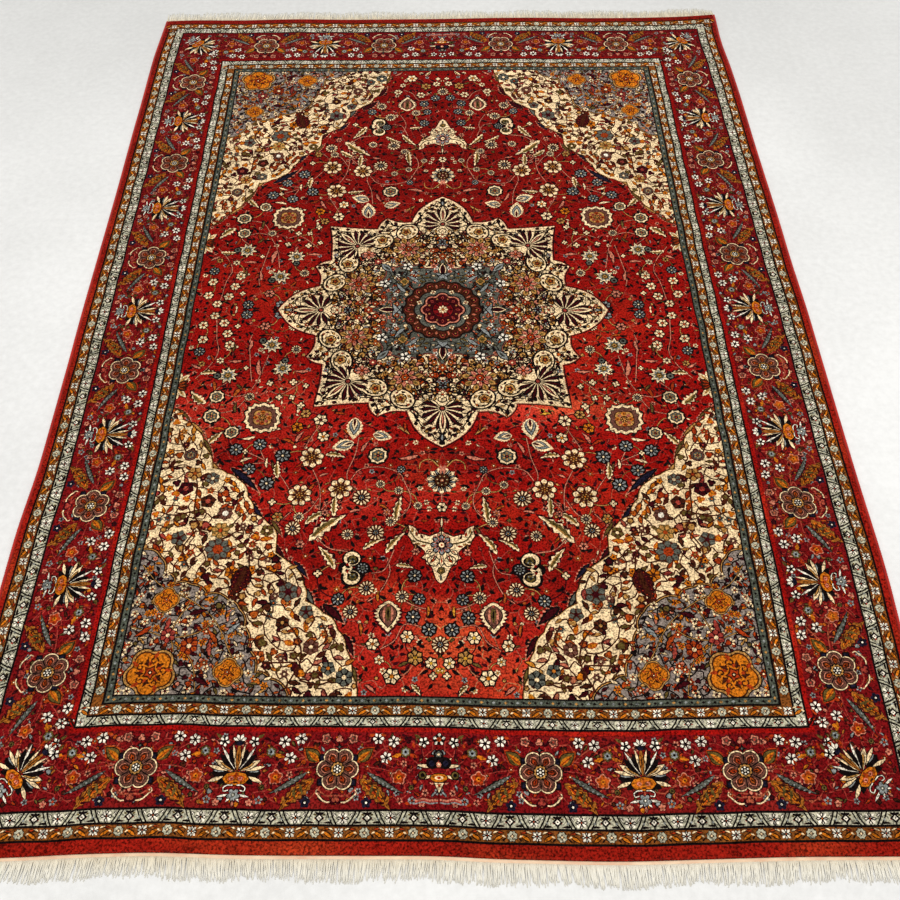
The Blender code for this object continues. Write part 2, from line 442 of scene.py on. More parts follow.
def scatter(outline, spacing, seed, keep_off=(), margin=4):
    """Places inside an outline: a slanted grid, each place shaken a little, off the circles named."""
    chance = np.random.default_rng(seed)
    low, high = outline.min(0), outline.max(0)
    gx, gy = np.meshgrid(np.arange(low[0], high[0], spacing), np.arange(low[1], high[1],
        spacing * 0.87))
    gx = gx + (np.arange(len(gx)) % 2)[:, None] * spacing / 2
    p = np.column_stack((gx.ravel(), gy.ravel())) + chance.uniform(-0.28, 0.28, (gx.size, 2)) * spacing
    good = inside(p, outline)
    for s in ((margin, 0), (-margin, 0), (0, margin), (0, -margin)):
        good &= inside(p + s, outline)
    for x, y, r in keep_off:
        good &= np.hypot(p[:, 0] - x, p[:, 1] - y) > r
    return p[good], chance


print("places in a square of 200 mm:", len(scatter(rect(0, 0, 200, 200), 20, 1)[0]))

# %% [markdown]
# ## Dyes
#
# The reds come from madder root and the darker ones from an insect dye, the near black from iron
# and oak gall, the golden and orange shades from weld and rind over madder, and the greys from
# indigo that has faded. The numbers are sRGB shades chosen for worn wool in even light.

# %% Dyes and small flowers
DYES = {"madder": (146, 16, 11), "crimson": (112, 15, 17), "wine": (58, 9, 15), "ink": (20, 12, 12),
    "navy": (27, 24, 40), "ivory": (240, 208, 160), "white": (238, 226, 204), "blush": (196, 118, 92),
    "rose": (150, 54, 44), "camel": (178, 128, 66), "gold": (196, 108, 22), "rust": (156, 50, 16),
    "olive": (92, 74, 34), "taupe": (98, 60, 48), "slate": (86, 86, 76), "ash": (134, 120, 110),
    "mist": (134, 136, 132), "celadon": (182, 176, 150), "amber": (128, 72, 28), "pine": (34, 38, 34),
    "brown": (66, 28, 14), "scarlet": (146, 26, 15), "ochre": (150, 88, 30), "moss": (78, 82, 70)}


def blossom(petals, radius, dye, eye, ink="ink", fat=0.95, eye_size=0.26):
    """Separate petals over a dark lobed ground, with a round eye. Small ones have fewer points."""
    width = fat * TURN * radius * 0.62 / petals
    fine = 2 if radius < 11.5 else 3
    made = [(ink, lobed(petals, radius * 1.08, 0.42, fine, 0.7))]
    made += around(petals,
        [(dye, petal(radius * 0.26, radius, width, 1.25, fine if radius < 22 else 4))])
    return made + [(eye, oval(radius * eye_size, count=5 if fine == 2 else 7))]


print(len(DYES), "dyes; a small flower is", len(blossom(5, 8, "rust", "ivory")), "outlines")

# %% [markdown]
# ## Main border
#
# Rosettes and palmettes take turns along the broad crimson border, with leaves and small flowers
# between them. They are drawn at a place of their own, with +Y towards the carpet's middle, and
# are turned when they are set along an end or a side. First comes the rosette: six dark petals
# with pale rims, each with a brown and orange heart, and a swag that faces the edge.

# %% Border rosette
def border_rosette():
    """Six petals with pale rims, dark squares between them and a swag on the outer side."""
    made = []
    for x, y in ((33, 22), (33, -26)):
        made += mirrored([("ink", star(4, 10, 8, np.pi / 4) + (x, y)),
            ("navy", star(4, 6, 4.6, np.pi / 4) + (x, y))])
    made += place([("ink", star(4, 10, 4)), ("slate", dot(2.4))], 0, 44)
    for dye, radius, depth in (("ink", 45.5, 0.22), ("ivory", 43.6, 0.22), ("ink", 41, 0.23),
            ("taupe", 39.6, 0.23)):
        made += [(dye, lobed(6, radius, depth, 8, 0.7, TURN / 12))]
    made += around(6, [("ink", petal(10, 40, 3.4, 1.0, 2))])
    heart = [("ink", petal(11, 37, 20, 1.3, 5)), ("blush", petal(12, 35.5, 17.5, 1.3, 5))]
    heart += [("brown", petal(12, 33.6, 14.5, 1.3, 5)), ("rust", petal(15, 29, 7.5, 1.3)),
        ("ink", petal(17, 26, 3, 1.3, 2))]
    made += around(6, heart, first=30)
    made += [("ink", dot(15.5, 18)), ("camel", lobed(10, 13.6, 0.2, 4, 0.7)), ("ink", dot(9.5, 12))]
    made += around(6, [("white", dot(1.9))], 6.4) + [("white", dot(2.6, 8))]
    swag = curve(((6, -62), (16, -64), (27, -60), (36, -51)), 9)
    made += mirrored([("ink", ribbon(swag + (0, 0.6), 5.2)), ("ivory", ribbon(swag, 2.6))])
    made += mirrored([("ivory", stem(((36, -51), (41, -46), (38, -40), (33, -43)), 2.2, 7))])
    made += [("wine", lobed(3, 13, 0.45, 6) + (0, -58)), ("rose", lobed(3, 8, 0.5, 6) + (0, -57))]
    made += mirrored([("rose", stem(((4, -50), (18, -52), (30, -46), (40, -36)), 3.0, 8))])
    bloom = [("wine", lobed(5, 12.5, 0.35, 5)), ("blush", lobed(5, 10.4, 0.4, 5)),
        ("taupe", lobed(5, 7, 0.4, 5)), ("rose", dot(3))]
    made += mirrored(place(bloom, 28, 61, 20))
    made += place([("wine", lobed(3, 10, 0.4, 6)), ("blush", lobed(3, 7.6, 0.5, 6))], 0, 60)
    made += mirrored(place([("wine", leaf(20, 7, 0.2, 3))], 8, 50, -38))
    return made


print("rosette:", len(border_rosette()), "outlines")

# %% [markdown]
# The palmette is a flower seen from the side. Rays by turns dark and pale flare out of a golden
# cup, like flames. At the middle of each end a closed palmette with dark discs takes its place.

# %% Border palmettes
def flame_palmette():
    """Rays by turns dark and pale over a golden cup, a dark bud under white petals as its crown,
    and a grey star with pale spikes at its foot."""
    # a petal's dye, start, reach, width and lean in degrees
    rays = (
        ("ink", 10, 50, 22, 90), ("mist", 24, 46, 6, 84), ("ivory", 18, 58, 9, 76),
        ("ivory", 20, 56, 10, 108), ("ink", 12, 42, 13, 122), ("ivory", 6, 52, 15, 60),
        ("camel", 8, 40, 6, 58), ("ink", 6, 52, 15, 43), ("white", 8, 62, 6.5, 33),
        ("ink", 6, 52, 15, 20), ("ivory", 8, 58, 7, 12), ("ivory", 4, 36, 10, 7),
    )
    made = []
    for dye, start, reach, width, angle in rays:
        parts = []
        if dye != "ink":
            width *= 0.76
            parts = [("ink", petal(start - 1.6, reach + 2, width + 3.6, 1.25, 4))]
        for part in parts + [(dye, petal(start, reach, width, 1.25, 4))]:
            made += mirrored(place([part], 0, -9, -angle))
    made += [("ink", petal(-10, 56, 12, 1.1, 5)), ("ochre", petal(-8, 54, 9, 1.1, 5)),
        ("ink", petal(8, 34, 2.4, 1.1))]
    made += [("ink", lobed(8, 27, 0.12) * (1, 0.56) + (0, -20)),
        ("gold", lobed(8, 25, 0.12) * (1, 0.53) + (0, -20)), ("rust", oval(19, 8.4, 14) + (0, -21)),
        ("gold", oval(17, 6.6, 14) + (0, -21))]
    made += mirrored(place([("rust", oval(6.8, 5.6, 9)), ("blush", oval(5, 4, 8)),
        ("rust", dot(2.2, 5))], 8.5, -20))
    made += [("rust", petal(-8, 8, 6, 1) + (0, -14)), ("brown", oval(5, 2.2, 6) + (0, -28))]
    made += [("ink", oval(11, 8, 9) + (0, 53)), ("navy", oval(6, 5, 7) + (0, 50))]
    for t, r in ((-62, 15), (-22, 16), (22, 16), (62, 15)):
        made += place([("ink", petal(1, r + 1.4, 9, 1.3)), ("white", petal(3, r, 6.4, 1.3))], 0, 54, t)
    curl = curve(((4, -33), (13, -33), (21, -38), (19, -45), (11, -43)), 9)
    made += mirrored([("ink", ribbon(curl, 6, 0.2)), ("white", ribbon(curl, 2.0, 0.2))])
    for t, r in ((100, 32), (-100, 32), (140, 20), (-140, 20)):
        made += place([("ink", petal(1, r + 1, 8)), ("white", petal(3, r, 4.6))], 0, -50, t)
    made += place([("ink", lobed(5, 15, 0.4, 4)), ("mist", lobed(5, 12.5, 0.45, 4)),
        ("slate", dot(5, 7)), ("white", dot(2, 5))], 0, -52, 180)
    return made + place([("wine", petal(0, 17, 9)), ("blush", petal(3, 15, 5.4))], 0, -60, 180)


def cup_palmette():
    """Dark discs over a golden cup, with pale wings beside it and a white flower on top."""
    made = []
    wing = [("ink", petal(8, 47, 10, 1.1, 5)), ("ivory", petal(9, 44, 6.4, 1.1, 5))]
    for y, turn, size in ((4, -84, 1.0), (-8, -106, 0.9), (6, -58, 0.72)):
        made += mirrored(place(wing, 0, y, turn, size))
    made += mirrored([("ink", oval(13, 13 * 0.95, 12) + (13, 13))]) + [("ink", dot(11, 12, 0, 29))]
    made += place([("slate", lobed(5, 6.4, per=4)), ("ivory", dot(2.6))], 0, 30)
    made += mirrored(place([("navy", dot(6, 8))], 14, 12))
    made += place([("blush", dot(5.4, 8)), ("ivory", dot(2.6))], 0, 10)
    made += mirrored(place([("ink", dot(9.4, 10)), ("olive", dot(7.2, 10)), ("ink", dot(4.2, 8))], 33,
        -11))
    made += place([("ink", oval(19, 10, 14)), ("gold", oval(17, 8.2, 14)), ("ivory", oval(9, 4, 10)),
        ("rust", oval(4, 3, 8))], 0, -16)
    for dye, half, y, tip in (("ink", 12, -25, -49), ("ivory", 9.4, -26, -45), ("rust", 4, -28, -37)):
        made += [(dye, np.array(((-half, y), (half, y), (0, tip)), float))]
    base = curve(((2, -58), (16, -60), (30, -57), (45, -61)), 9)
    made += mirrored([("rose", ribbon(base + (0, -3), 8)), ("blush", ribbon(base, 3.4)),
        ("mist", ribbon(base + (0, -6), 2.4))])
    made += place([("ink", lobed(5, 14, 0.35, 5))] + around(5, [("white", petal(5, 13, 6, 1.3, 4))])
        + [("rust", dot(5, 8))], 0, 60)
    return made


print("palmettes:", len(flame_palmette()), "and", len(cup_palmette()), "outlines")

# %% [markdown]
# Between a rosette and the next palmette run two broad leaves, one toothed, and a stem with white
# flowers. One half is drawn, and is mirrored to the rosette's other side.

# %% Between rosette and palmette
def lotus_side():
    """The broad open leaf beside a rosette, with its orange inner outline."""
    return [("rust", leaf(44, 31, 0.10, 6)), ("ink", leaf(41, 26, 0.10, 6)),
        ("olive", leaf(39, 22.5, 0.10, 6)), ("gold", leaf(33, 11, 0.10, 5)),
        ("rust", stem(((0, 0), (2, 14), (4, 28)), 2.2, 6))]


def between():
    """What fills the ground from a rosette to the next palmette, to one side of the rosette."""
    white = blossom(6, 12.5, "white", "ink", "wine", 0.8, 0.3)
    made = [("rose", stem(((44, 12), (66, 20), (86, 38), (104, 48), (124, 50), (140, 40)), 2.2, 16))]
    made += [("rose", stem(((48, 4), (76, 2), (104, -4), (128, -16)), 2.0, 12)),
        ("wine", stem(((124, 50), (150, 60), (168, 46), (172, 20)), 2.4, 12)),
        ("rose", stem(((120, -64), (140, -52), (150, -34), (140, -20)), 2.0, 10))]
    made += place(lotus_side(), 40, 14, -42)
    made += place([("ink", leaf(88, 15, -0.12, 3, 9, 0.2)), ("slate", leaf(84, 11, -0.12, 3, 9, 0.4))],
        60, -6, -126)
    # seven beads along its rib
    for k in range(7):
        along = 9 + 10.5 * k
        bead = (60 + along * 0.80 + 0.08 * k * k, -6 + along * -0.58 + 0.10 * k * k)
        made += place([("mist", oval(2.6, 1.7, 5))], *bead, 20)
    made += place([("wine", leaf(88, 37, 0.16, 3, 7, 0.3)), ("ochre", leaf(85, 31, 0.16, 3, 7, 0.3)),
        ("brown", leaf(74, 20, 0.16, 3, 6, 0.3) + (0, 5)),
        ("gold", leaf(70, 16, 0.18, 3, 6, 0.4) + (0, 6)),
        ("rust", leaf(58, 9, 0.2, 3, 5, 0.4) + (1, 9)), ("ink", leaf(66, 2.4, 0.17, 4) + (0, 8))], 46,
        -20, -124)
    for x, y, t, dye in ((66, -44, -60, "brown"), (84, -38, -170, "olive"), (90, -58, -70, "brown"),
            (104, -52, -175, "ochre"), (72, -30, -175, "olive"), (60, -30, -70, "brown")):
        made += place([(dye, leaf(20, 8, 0.4, 3, 3))], x, y, t)
    for x, y in ((79, 61), (111, 55), (97, 22)):
        made += place(white, x, y, 8 * (x % 5))
    made += place([("wine", lobed(6, 12.5, 0.2, 4)), ("olive", lobed(6, 11, 0.2, 4)),
        ("mist", lobed(6, 7.6, per=4)), ("ink", dot(3))], 137, 34)
    made += place([("gold", leaf(20, 10, 0.2, 3, 3))], 128, 30, 118)
    made += place([("rust", leaf(18, 9, -0.2, 3, 3))], 146, 30, -120)
    made += place([("wine", lobed(5, 18, 0.4, 5)), ("blush", lobed(5, 16.4, 0.42, 5)),
        ("rust", lobed(5, 13.6, 0.42, 5)), ("gold", dot(5, 8)), ("wine", dot(2))], 124, -16)
    made += place(blossom(5, 10.5, "mist", "ivory", "navy", 0.9, 0.3), 61, -65)
    made += place([("navy", lobed(5, 11, per=4)), ("ink", dot(5, 8)), ("white", dot(2.4))], 61, -65)
    made += place(blossom(5, 9, "mist", "rust", "wine", 0.9, 0.3), 153, -61)
    made += place([("wine", lobed(5, 9, per=4)), ("blush", lobed(5, 7.4, 0.4, 4)), ("rose", dot(2.4))],
        172, -66)
    made += place([("ink", dot(6.4, 8)), ("olive", dot(4.8, 8)), ("ink", dot(2))], 150, -36)
    petals = around(5, [("white", petal(3, 11, 6, 1.3, 4))])
    made += place([("ink", lobed(5, 11.5, 0.4, 5)), *petals, ("ink", dot(3.4))], 174, 54, -25)
    made += place([("olive", leaf(16, 7, 0.2, 3))], 168, 62, 70)
    for x, y, t in ((84, 40, 60), (118, 36, -20), (66, 52, 10), (142, 60, -70), (106, 8, 40),
            (148, 10, 150), (88, -8, 80), (160, -12, -160), (108, -32, -60), (132, -40, 20),
            (98, -66, 100), (138, -66, -90), (170, 30, 170), (156, 42, 30), (60, 66, -60), (94, 68, 90),
            (126, 68, -90)):
        made += place([("wine" if (x + y) % 3 else "rust", leaf(13, 6, 0.25, 3))], x, y, t)
    return made


print("between them:", len(between()), "outlines to a side")

# %% [markdown]
# ## Motifs of the field
#
# The field holds many kinds of flower, each with its own way of being split into petals, rims and
# dots. A motif's lowest layer is its dark back, which sets it off from the red ground.

# %% Flowers and leaves of the field
def daisy(radius=30):
    """Pale petals with dark rims about a dark disc that carries a ring of dots."""
    petals = [("wine", petal(radius * 0.34, radius * 1.03, radius * 0.62, 1.5, 5)),
        ("ivory", petal(radius * 0.38, radius * 0.97, radius * 0.5, 1.5, 5)),
        ("camel", petal(radius * 0.42, radius * 0.66, radius * 0.2, 1.0))]
    dots = around(6, [("camel", dot(radius * 0.07, 5))], radius * 0.22)
    return [("brown", lobed(8, radius * 1.04, 0.34, 4, 0.7)), *around(8, petals),
        ("brown", dot(radius * 0.36, 12)), *dots, ("gold", dot(radius * 0.08))]


def spiky(radius=28):
    """Star on star on star, with a slate disc hanging from it."""
    made = [("ink", star(9, radius * 1.05, radius * 0.62)),
        ("ivory", star(9, radius * 0.98, radius * 0.56)),
        ("mist", star(9, radius * 0.7, radius * 0.42)), ("olive", star(7, radius * 0.5, radius * 0.3)),
        ("camel", dot(radius * 0.2, 7)), ("wine", dot(radius * 0.1))]
    disc = [("ink", lobed(6, radius * 0.46, 0.2, 4)), ("slate", dot(radius * 0.3, 8)),
        ("ink", dot(radius * 0.14))]
    return made + place(disc, radius * 0.55, -radius * 0.85)


def framed_rosette(side=44, eye=11):
    """A rosette of four petals in a toothed frame. The frame is a star whose coordinates are
    pushed towards a square: sign(v) |v|^0.78 side^0.22."""
    frame = star(14, side * 1.18, side * 0.98)
    square = np.sign(frame) * np.abs(frame) ** 0.78 * side ** 0.22
    made = [("ink", grown(square, 1.4)), ("ivory", square), ("ink", square * 0.83),
        ("taupe", square * 0.78), ("brown", lobed(4, side * 0.68, per=7, first=TURN / 8)),
        ("camel", lobed(4, side * 0.62, 0.32, 7, 0.8, TURN / 8))]
    made += around(4, [("rust", petal(10, side * 0.56, 15, per=4)),
        ("brown", petal(14, side * 0.44, 6))])
    made += around(4, [("rose", petal(8, side * 0.5, 11, 1.3, 4)), ("ivory", dot(2.2))], 0, 45)
    made += [("brown", dot(eye, 14))] + around(7, [("camel", dot(eye * 0.17))], eye * 0.68)
    return made + [("camel", dot(eye * 0.36, 8)), ("rust", dot(eye * 0.2))]


def boteh(length=62, width=40):
    """A bent drop, leaf within leaf, pale and dark by turns."""
    made = [("ivory", leaf(length, width, 0.05, 3, 7, 0.2)),
        ("ink", leaf(length * 0.86, width * 0.72, 0.05, 6)),
        ("mist", leaf(length * 0.8, width * 0.6, 0.05, 6)),
        ("ink", leaf(length * 0.68, width * 0.44, 0.05, 5)),
        ("ivory", leaf(length * 0.6, width * 0.34, 0.05, 5)),
        ("wine", leaf(length * 0.44, width * 0.2, 0.05, 4))]
    return place(made, 0, -length / 2)


def ringed(radius=21, rim="ivory"):
    """A pale flower of nine lobes about a darker one of six, which carries thin petals."""
    return ([("ink", lobed(9, radius * 1.06, 0.14)), (rim, lobed(9, radius * 0.98, 0.32)),
        ("ink", lobed(6, radius * 0.76, 0.3)), ("slate", lobed(6, radius * 0.66, 0.36))]
        + around(6, [("camel", petal(radius * 0.12, radius * 0.54, radius * 0.2))])
        + [("ink", dot(radius * 0.24, 7)), ("rose", dot(radius * 0.12, 5))])


def grey_star(radius=17, dye="mist", eye="ivory", petals=8):
    """Thin grey petals, split by dark ones, on a dark disc."""
    return ([("ink", lobed(petals, radius * 1.08, sharp=0.7))]
        + around(petals, [(dye, petal(radius * 0.32, radius * 1.0, radius * 0.36, 1.35))])
        + around(petals // 2, [("ink", petal(radius * 0.4, radius * 0.8, radius * 0.12, per=2))])
        + [(eye, dot(radius * 0.17))])


def cross(radius=11):
    """A small flower of four lobes."""
    return [("ink", lobed(4, radius * 1.1, 0.5, 4, 0.7)),
        ("ivory", lobed(4, radius * 0.9, 0.6, 4, 0.7)), ("ink", dot(radius * 0.22, 5))]


def tuft(radius=18):
    """A flower of twelve thin petals on a dark disc."""
    petals = around(12, [("ivory", petal(radius * 0.44, radius * 1.06, radius * 0.26, 1.4))])
    dots = around(5, [("mist", dot(radius * 0.09, 4))], radius * 0.22)
    return [("brown", dot(radius, 12)), *petals, ("ink", dot(radius * 0.42, 8)), *dots,
        ("camel", dot(radius * 0.1, 5))]


def cream_leaf(length, width, bend):
    """A long toothed leaf with a darker heart, which leans as far as bend says."""
    bend *= 1.8
    made = [("wine", leaf(length * 1.03, width * 1.34, bend, 3, 5, 0.5)),
        ("ivory", leaf(length * 0.97, width * 1.16, bend, 3, 5, 0.5))]
    made += [("olive", leaf(length * 0.8, width * 0.56, bend, 3, 5, 0.4) + (-width * 0.06,
        length * 0.1))]
    return made + [("camel", leaf(length * 0.66, width * 0.16, bend, 3) + (width * 0.1, length * 0.12))]


def sliver(length, dye):
    """A thin bent leaf with a dark rim."""
    return [("wine", grown(leaf(length, length * 0.3, 0.35), 2.0)),
        (dye, leaf(length, length * 0.26, 0.35, 3, 3))]


print("outlines:", [len(form()) for form in (daisy, spiky, framed_rosette, boteh, ringed, grey_star,
    tuft)])

# %% [markdown]
# The large palmettes stand alone. A double cup and a serrated bud lie in the ends of the field,
# an open flower leans in from each side, and on the long axis a round pendant and a pointed
# palmette with curled leaves hang from the star.

# %% Palmettes and pendants of the field
def double_palmette():
    """Two black-rimmed cups with cream crescents, back to back, and a ring of beads beside them."""
    backs = ((0, 25, 24), (0, -25, 24), (-27, 0, 18), (17, 0, 17))
    made = [("ink", oval(r * 1.1, r, 14) + (x, y)) for x, y, r in backs]
    for way in (1, -1):
        made += [("ivory", oval(21, 19, 14) + (0, 26 * way)),
            ("ink", oval(15.5, 13.5, 12) + (-2, 22 * way)),
            ("olive", lobed(5, 11, 0.4) + (-2, 24 * way)), ("pine", dot(4.4, 6, -2, 24 * way)),
            ("mist", dot(2, 5, -6, 19 * way)), ("mist", dot(1.8, 5, 3, 20 * way)),
            ("madder", oval(5.4, 4.4, 7) + (10, 10 * way)),
            ("ivory", leaf(22, 8, -0.35 * way, 3) + (18, 6 * way))]
    made += [("ivory", stem(((3, 16), (8, 12), (4, 5), (0, 0), (4, -5), (8, -12), (3, -16)), 3.4, 12)),
        ("ivory", stem(((2, 0), (10, 3), (15, 0)), 3.4, 5, 0.3))]
    made += place([("ivory", petal(0, 11, 8, 1.0))], 14, 0, -90)
    made += place(around(9, [("mist", oval(2.3, 2.6, 5))], 11) + [("slate", lobed(5, 7, 0.4)),
        ("ink", dot(2.6, 5))], -27, 0)
    return made


def serrated_bud(length=74, width=60):
    """A drop-shaped bud, its pale rim cut into teeth, pointing up Y."""
    made = [("wine", leaf(length * 1.06, width * 1.12, 0, 3, 9, 0.2)),
        ("ivory", leaf(length, width * 1.04, 0, 3, 9, 0.24)),
        ("ink", leaf(length * 0.8, width * 0.72, 0, 5) + (0, length * 0.08)),
        ("taupe", leaf(length * 0.74, width * 0.62, 0, 5) + (0, length * 0.1))]
    made += mirrored(place([("blush", leaf(length * 0.5, width * 0.1, -0.25, 3))], width * 0.12,
        length * 0.2, -14))
    made += [("olive", leaf(length * 0.5, width * 0.26, 0, 3, 4, 0.4) + (0, length * 0.18)),
        ("ink", leaf(length * 0.34, width * 0.08, 0) + (0, length * 0.26)),
        ("olive", dot(3.6, 6, -width * 0.12, length * 0.84)), ("rose", dot(3, 6, 0, length * 0.14))]
    return place(made, 0, -length / 2)


def half_lotus():
    """The open flower that leans in from the side of the field, drawn whole."""
    made = []
    for t, r in ((-74, 62), (-48, 70), (48, 70), (74, 62)):
        made += place([("ink", petal(10, r + 2, 24, 1.3, 5)), ("ivory", petal(12, r, 20, 1.3, 5)),
            ("camel", petal(16, r - 10, 9, 1.3, 4))], 0, 0, t)
    for t in (-24, 0, 24):
        made += place([("ink", petal(6, 52, 24, 1.3, 5)), ("brown", petal(8, 49, 19, 1.3, 5)),
            ("rust", petal(12, 38, 8, 1.3, 4))], 0, 0, t)
    return made + [("ink", dot(16, 12)), ("mist", dot(13, 12)), ("wine", dot(7, 8))]


def round_pendant():
    """A round flower of pale forked petals about a dark, dotted middle."""
    made = [("ink", dot(35, 22))]
    made += around(11, [("ivory", petal(19, 38, 12, 1.5, 4)), ("wine", petal(20, 31, 4))])
    made += around(11, [("mist", petal(20, 34, 3.4, 1.3, 2))], 0, 180 / 11)
    made += [("ink", dot(20, 14)), ("brown", dot(18, 14))]
    made += around(7, [("olive", dot(3.2, 5)), ("ivory", dot(1.5, 4, 0, -0.4))], 12.5)
    made += [("ink", dot(7.4, 8)), ("rose", dot(5, 7)), ("ivory", dot(2.2, 5))]
    return made


def cartouche():
    """The pendant palmette: a cream leaf curled up on each side, a flower on its middle, a fan of
    petals under that and a point outwards (+Y)."""
    half = np.array(((0, -52), (15, -42), (30, -36), (54, -42), (76, -66), (77, -40), (66, -18),
        (50, -10), (38, 2), (45, 18), (34, 34), (20, 44), (14, 60), (0, 82)), float)
    right = cusps(half, (0.1, 0.04, -0.08, -0.16, 0.12, 0.08, 0.14, 0.05, 0.2, 0.24, 0.14, 0.0, -0.12),
        4)
    shape = np.concatenate((right, (right * (-1, 1))[-2:0:-1]))
    made = [("ink", grown(shape, 3.4)), ("blush", grown(shape, 0.8)), ("ivory", shape)]
    # the curled leaves: a rib to the tip, and short veins off it
    rib = curve(((26, -18), (44, -22), (60, -30), (73, -52)), 9)
    made += mirrored([("ink", ribbon(rib, 4.6, 0.3)), ("olive", ribbon(rib, 2.2, 0.3))])
    for x, y, turn, dye in ((36, -13, -70, "rust"), (48, -17, -80, "camel"), (59, -23, -86, "olive"),
            (42, -30, -140, "brown"), (55, -37, -150, "rust"), (66, -46, -160, "camel")):
        made += mirrored(place([("ink", leaf(14, 6.4)), (dye, leaf(11, 3.6) + (0, 1.4))], x, y, turn))
    for x, y, turn in ((10, -35, 150), (21, -31, 130)):
        made += mirrored(place([("ink", petal(0, 13, 8)), ("blush", petal(2, 11, 4.4))], x, y, turn))
    # the fan under the flower
    for turn in (-58, -29, 0, 29, 58):
        less, dye = abs(turn) * 0.22, "rose" if turn % 2 else "rust"
        made += place([("ink", petal(20, 58 - less, 14, 1.3, 4)),
            ("ivory", petal(24, 55 - less, 8.6, 1.3, 4)), (dye, petal(27, 49 - less, 4.2, 1.3))], 0,
            -15, turn)
    made += mirrored([("ink", stem(((30, 6), (38, 12), (37, 24), (26, 36)), 2.0, 8))])
    # two rounded lobes at the neck
    made += mirrored([("ink", stem(((7, 22), (20, 12), (33, 22), (28, 36), (13, 40), (6, 30)), 2.6,
        12))])
    made += mirrored(place([("ink", leaf(15, 8)), ("rust", leaf(11, 4.4) + (0, 2))], 17, 19, -20))
    # middle flower
    flower = [("ink", lobed(8, 27, 0.22, 4))] + around(8, [("mist", petal(9, 25, 9, 1.3, 4))])
    flower += around(8, [("rose", petal(10, 20, 4, 1.3, 2))]) + around(8,
        [("blush", petal(12, 22, 4, 1.3, 2))], 0, 22.5)
    made += place(flower + [("wine", dot(9.6, 10)), ("ivory", dot(6.6, 9)), ("rust", dot(3))], 0, -15)
    made += [("ink", stem(((0, -70), (0, -40)), 3, 4))]
    # the point
    made += place([("ink", lobed(5, 11)), ("olive", lobed(5, 8.6)), ("camel", dot(3, 5))], 0, 51)
    return made + place([("ink", petal(0, 17, 7, 1.1)), ("slate", petal(3, 14, 3.6, 1.1))], 0, 59)


print("outlines:", [len(form()) for form in (double_palmette, serrated_bud, round_pendant, cartouche)])

# %% [markdown]
# ## Medallion
#
# The star in the middle has eight points. Its edge is given by the cusps of one eighth, as radius
# and degrees, and each span between two of them bows in or out. Within it lie fan palmettes on
# the points, rings about winding stems, round flowers, and a slate heart with dark rings about
# a small crimson flower.

# %% Outlines of the star and its heart
def eightfold(tips, bulges, per):
    """An outline from the cusps of one eighth of it (radius, degrees), mirrored round."""
    line = cusps([polar(r, a) for r, a in tips], bulges, per)
    quarter = np.concatenate((line, line[::-1][:, ::-1][1:]))
    half = np.concatenate((quarter, (quarter * (-1, 1))[::-1][1:]))
    return np.concatenate((half, (half * (1, -1))[::-1][1:-1]))


def medallion_outline():
    """The star's edge, from the cusps of one eighth of it."""
    return eightfold(((455, 0), (357, 14.6), (398, 24.6), (370, 31.0), (467, 45.0)),
        (-0.13, 0.12, -0.10, 0.02), 6)


def heart_outline():
    """The edge of the slate part, from the cusps of one eighth of it."""
    return eightfold(((208, 0), (158, 12), (186, 20), (204, 31), (246, 45)), (0.12, 0.24, 0.2, 0.22), 5)


print("star:", len(medallion_outline()), "points; heart:", len(heart_outline()))

# %% [markdown]
# The heart is symmetrical to the last petal. Its three axes in a quarter carry petals, and the
# rings are polygons of lobes, each a little smaller and of another dye.

